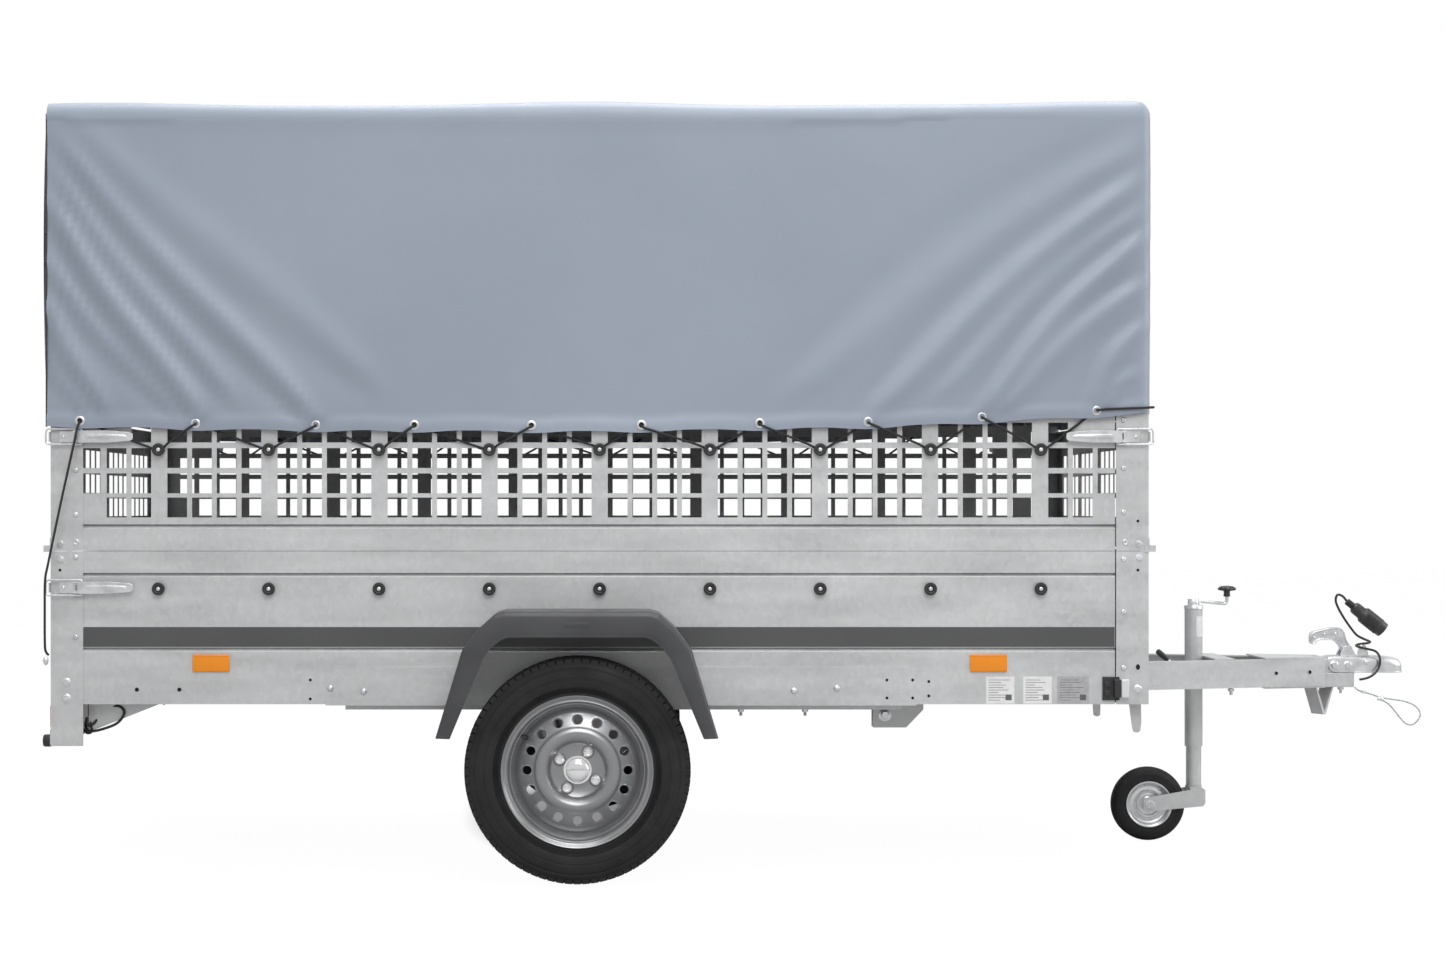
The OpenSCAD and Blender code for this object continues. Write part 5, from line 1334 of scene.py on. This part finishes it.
label_points, label_faces = [], []
for k in range(9):
    a = math.radians(-84 + k * 7.6)
    for z in (0.555, 0.611):
        label_points.append((1.2105 + 0.0242 * math.cos(a), 0.0242 * math.sin(a), z))
label_faces = [(2 * k, 2 * k + 2, 2 * k + 3, 2 * k + 1) for k in range(8)]
piece("leg_label", label_points, label_faces, paper, "jockey_leg", None, smooth=80)

tyre_half = [(0.0625, 0.0245), (0.0700, 0.0252), (0.0760, 0.0256), (0.0765, 0.0248), (0.0800, 0.0248),
             (0.0806, 0.0256), (0.0880, 0.0246), (0.0945, 0.0200), (0.0980, 0.0130), (0.0985, 0.0122),
             (0.0975, 0.0112), (0.0992, 0.0098), (0.1000, 0.0060), (0.1000, 0.0)]
axle_turn = Matrix.Rotation(math.radians(90), 4, "X")
jockey_tyre = lathe([(r, -h) for r, h in tyre_half] + [(r, h) for r, h in tyre_half[::-1][1:]]
                    + [(0.0625, -0.0245)],
                    axle_turn, (1.0845, 0, 0.100), 72)
piece("jockey_tyre_ring", *jockey_tyre, tyre_rubber, "jockey_wheel", "tyre_rubber", smooth=30,
      replaces=("jockey_tyre",))
disc_half = [(0.0062, 0.0295), (0.0150, 0.0295), (0.0158, 0.0285), (0.0160, 0.0110), (0.0200, 0.0085),
             (0.0300, 0.0080), (0.0325, 0.0105), (0.0360, 0.0110), (0.0385, 0.0085), (0.0480, 0.0070),
             (0.0525, 0.0085), (0.0550, 0.0170), (0.0565, 0.0240), (0.0600, 0.0262), (0.0622, 0.0262)]
jockey_disc = lathe([(r, -h) for r, h in disc_half] + [(r, h) for r, h in disc_half[::-1]]
                    + [(0.0062, -0.0295)],
                    axle_turn, (1.0845, 0, 0.100), 72)
piece("jockey_disc", *jockey_disc, zinc, "jockey_wheel", "rim_paint", smooth=25, replaces=("jockey_rim",))
axle_end = joined(lathe([(0, 0.0372), (0.0125, 0.0372), (0.0125, 0.0392), (0.0085, 0.0400), (0.0085, 0.0415),
                         (0.0060, 0.0415), (0.0055, 0.0385), (0, 0.0385)], axle_turn, (1.0845, 0, 0.100), 28),
                  lathe([(0, -0.0385), (0.0060, -0.0385), (0.0060, -0.0415), (0.0085, -0.0415),
                         (0.0125, -0.0392), (0.0125, -0.0372),
                         (0, -0.0372)], axle_turn, (1.0845, 0, 0.100), 28))
piece("fork_axle_ends", *axle_end, zinc, "jockey_swivel", "galvanised_sheet")
# black discs on the axle's bores: painted shade inside the bores
piece("fork_axle_bore", *joined(*(lathe([(0, 0), (0.0054, 0), (0.0054, 0.0002), (0, 0.0002)],
                                        Matrix.Rotation(math.radians(90 * s), 4, "X"),
                                        (1.0845, -s * 0.0386, 0.100), 20)
                                  for s in (1, -1))), hole_shade_paint, "jockey_swivel", "galvanised_sheet")

handle_turn = Matrix.Translation((1.1705, -0.044, 0.459)) @ Matrix.Rotation(math.radians(-49), 4, "Y")
clamp_screw = lathe([(0, -0.051), (0.0050, -0.051), (0.0060, -0.050), (0.0060, -0.0203), (0.0088, -0.0203),
                     (0.0088, -0.0120), (0.0060, -0.0120), (0.0060, 0.0120), (0, 0.0120)],
                    Matrix.Rotation(math.radians(-90), 4, "X"), (1.1705, 0, 0.459), 24)
piece("clamp_screw", *joined(clamp_screw, moved(lathe([(0, 0), (0.0045, 0), (0.0045, 0.056), (0, 0.056)],
                                                      steps=16),
                                                handle_turn)),
      zinc, "clamp_screw", "zinc_plated_steel", replaces=("clamp_handle",))
piece("clamp_grip", *moved(lathe([(0, 0.052), (0.0060, 0.052), (0.0068, 0.056), (0.0080, 0.070),
                                  (0.0080, 0.084), (0.0070, 0.090), (0.0040, 0.0920),
                                  (0, 0.0922)], steps=24), handle_turn),
      plastic, "clamp_screw", "black_plastic")

# ---- Coupling ----
# A pressed ball coupling: a domed shell that straddles the drawbar's tip and is bolted through
# it, a cast lever on a pivot above the shell, and the jaw that the lever closes round the ball.
shell_rows = (
    # place, half width, underside, top, corner radius
    (1.5685, 0.0365, 0.4790, 0.4990, 0.004), (1.5720, 0.0370, 0.4690, 0.5010, 0.006),
    (1.5800, 0.0370, 0.4625, 0.5030, 0.008), (1.5920, 0.0370, 0.4595, 0.5040, 0.009),
    (1.6380, 0.0370, 0.4590, 0.5045, 0.010), (1.6600, 0.0368, 0.4590, 0.5045, 0.013),
    (1.6850, 0.0362, 0.4590, 0.5042, 0.016), (1.7100, 0.0358, 0.4590, 0.5036, 0.019),
    (1.7350, 0.0345, 0.4590, 0.5022, 0.021), (1.7520, 0.0310, 0.4590, 0.4990, 0.021),
    (1.7640, 0.0255, 0.4590, 0.4945, 0.018), (1.7715, 0.0180, 0.4590, 0.4880, 0.014),
    (1.7755, 0.0080, 0.4590, 0.4800, 0.007))


def shell_ring(x, half, low, top, corner, inset):
    """Points round one arch of the shell, from its right foot over the top to its left foot."""
    half, top, corner = half - inset, top - inset, max(corner - inset, 0.001)
    arch = [(-half, low), (-half, low + (top - corner - low) * 0.5)]
    arch += [(-half + corner * (1 - math.cos(a)), top - corner * (1 - math.sin(a)))
             for a in (math.radians(15 * k) for k in range(7))]
    return [(x, y, z) for y, z in arch + [(-y, z) for y, z in arch[::-1]]]


shell_points, shell_faces = [], []
for row in shell_rows:
    outer = shell_ring(*row, 0)
    shell_points += outer + shell_ring(*row, 0.0038)[::-1]
around = 2 * len(outer)
for i in range(len(shell_rows) - 1):
    for k in range(around):
        a, b = i * around + k, i * around + (k + 1) % around
        shell_faces.append((a, b, b + around, a + around))
half_around = len(outer)
for start in (0, (len(shell_rows) - 1) * around):
    for k in range(half_around - 1):
        shell_faces.append((start + k, start + k + 1, start + around - 2 - k, start + around - 1 - k))
piece("coupling_shell", shell_points, shell_faces, zinc, "chassis", "zinc_plated_steel", smooth=40,
      replaces=("coupling_body",))

# a folded flange round the head's foot
rim_points, rim_faces = [], []
for x, half, low, top, corner in shell_rows[4:]:
    for s in (-1, 1):
        rim_points += [(x, s * (half - 0.003), 0.4585), (x, s * (half + 0.0034), 0.4585),
                       (x, s * (half + 0.0034), 0.4618), (x, s * (half - 0.003), 0.4618)]
for i in range(len(shell_rows) - 5):
    for s in (0, 4):
        for k in range(4):
            a, b = i * 8 + s + k, i * 8 + s + (k + 1) % 4
            rim_faces.append((a, b, b + 8, a + 8))
rim_faces += [(0, 1, 2, 3), (4, 5, 6, 7)]
last = (len(shell_rows) - 5) * 8
rim_faces += [tuple(last + k for k in range(4)), tuple(last + 4 + k for k in range(4))]
nose = slab((1.7750, -0.0115, 0.4585), (1.7780, 0.0115, 0.4618))
rounded(piece("coupling_flange", *joined((rim_points, rim_faces), nose), zinc, "chassis",
              "zinc_plated_steel"), 0.0007)
socket = lathe([(0.0, 0.0255), (0.010, 0.0242), (0.018, 0.0185), (0.0235, 0.0095), (0.0254, 0.0),
                (0.0254, -0.013), (0.0270, -0.013), (0.0272, 0.0), (0.0252, 0.0105), (0.0195, 0.0200),
                (0.011, 0.0260), (0.0, 0.0273)], place=(1.7335, 0, 0.472), steps=48)
piece("coupling_socket", *socket, zinc, "chassis", "zinc_plated_steel")
rounded(piece("drawbar_tip", *joined(
    slab((1.5548, -0.0366, 0.4560), (1.5700, 0.0366, 0.4975)),
    slab((1.5548, -0.0374, 0.4194), (1.6385, 0.0374, 0.4580))), galvanised, "chassis", "galvanised_sheet"),
    0.0025, 3)
repeated("coupling_bolts", hex_head(0.0125, 0.0175, 0.0062), zinc, "chassis",
         both_sides([(1.584, 0.479), (1.621, 0.478)], 0.0368))
repeated("coupling_rivets", lathe(dome_head, steps=20), zinc, "chassis",
         both_sides([(1.671, 0.488)], 0.0362))


def prism(outline, low, high):
    """An outline in (X, Z), in millimetres, pushed from y low to high."""
    n = len(outline)
    points = [(x / 1000, y, z / 1000) for y in (low, high) for x, z in outline]
    faces = [tuple(range(n)), tuple(range(n, 2 * n))[::-1]]
    return points, faces + [(k, (k + 1) % n, n + (k + 1) % n, n + k) for k in range(n)]


ear = [(1604, 501), (1606, 508), (1614, 526), (1620, 531), (1630, 532), (1637, 528), (1641, 520), (1650, 501)]
neck = [(1658, 500), (1661, 522), (1664, 530), (1670, 533), (1678, 532), (1682, 526), (1688, 500)]
rounded(piece("coupling_ears", *joined(prism(ear, 0.0163, 0.0217), prism(ear, -0.0217, -0.0163),
                                       prism(neck, -0.0075, 0.0075)), zinc, "chassis", "zinc_plated_steel"),
        0.0012, 3)
lever = [(1633, 511), (1639, 520), (1634, 531), (1624, 547), (1619, 566), (1612, 576), (1603, 580),
         (1590, 580.5), (1566, 576), (1538, 569.5), (1530, 564), (1528, 552), (1529, 538),
         (1534, 533.5), (1540, 536), (1544, 543), (1552, 546), (1570, 546), (1588, 546), (1600, 540),
         (1608, 529), (1614, 518), (1622, 511)]
lever_piece = piece("coupling_handle", *prism(lever, -0.0150, 0.0150), zinc, "coupling_handle",
                    "zinc_plated_steel", smooth=0, replaces=("coupling_lever",))
work = bmesh.new()
work.from_mesh(lever_piece.data)
cheeks = [f for f in work.faces if abs(f.normal.y) > 0.9]
bmesh.ops.inset_region(work, faces=cheeks, thickness=0.0032, depth=0)
bmesh.ops.inset_region(work, faces=cheeks, thickness=0.0012, depth=-0.0030)
work.to_mesh(lever_piece.data)
work.free()
rounded(lever_piece, 0.0011, 3)
lever_piece.data.shade_smooth()
lever_piece.data.set_sharp_from_angle(angle=math.radians(40))
knobs = joined(*(moved(lathe([(0, 0), (0.0046, 0), (0.0046, 0.0016), (0.0034, 0.0024), (0, 0.0024)],
                             steps=20),
                       outward(s, x, z, 0.0122)) for s in (-1, 1)
                 for x, z in ((1.539, 0.552), (1.566, 0.561), (1.596, 0.563))))
pivot = lathe([(0, -0.0235), (0.0062, -0.0235), (0.0066, -0.0220), (0.0066, -0.0218), (0.0049, -0.0218),
               (0.0049, 0.0218), (0.0066, 0.0218), (0.0066, 0.0220), (0.0062, 0.0235), (0, 0.0235)],
              Matrix.Rotation(math.radians(90), 4, "X"), (1.630, 0, 0.520), 24)
piece("lever_pivot", *joined(pivot, knobs), zinc, "coupling_handle", "zinc_plated_steel")
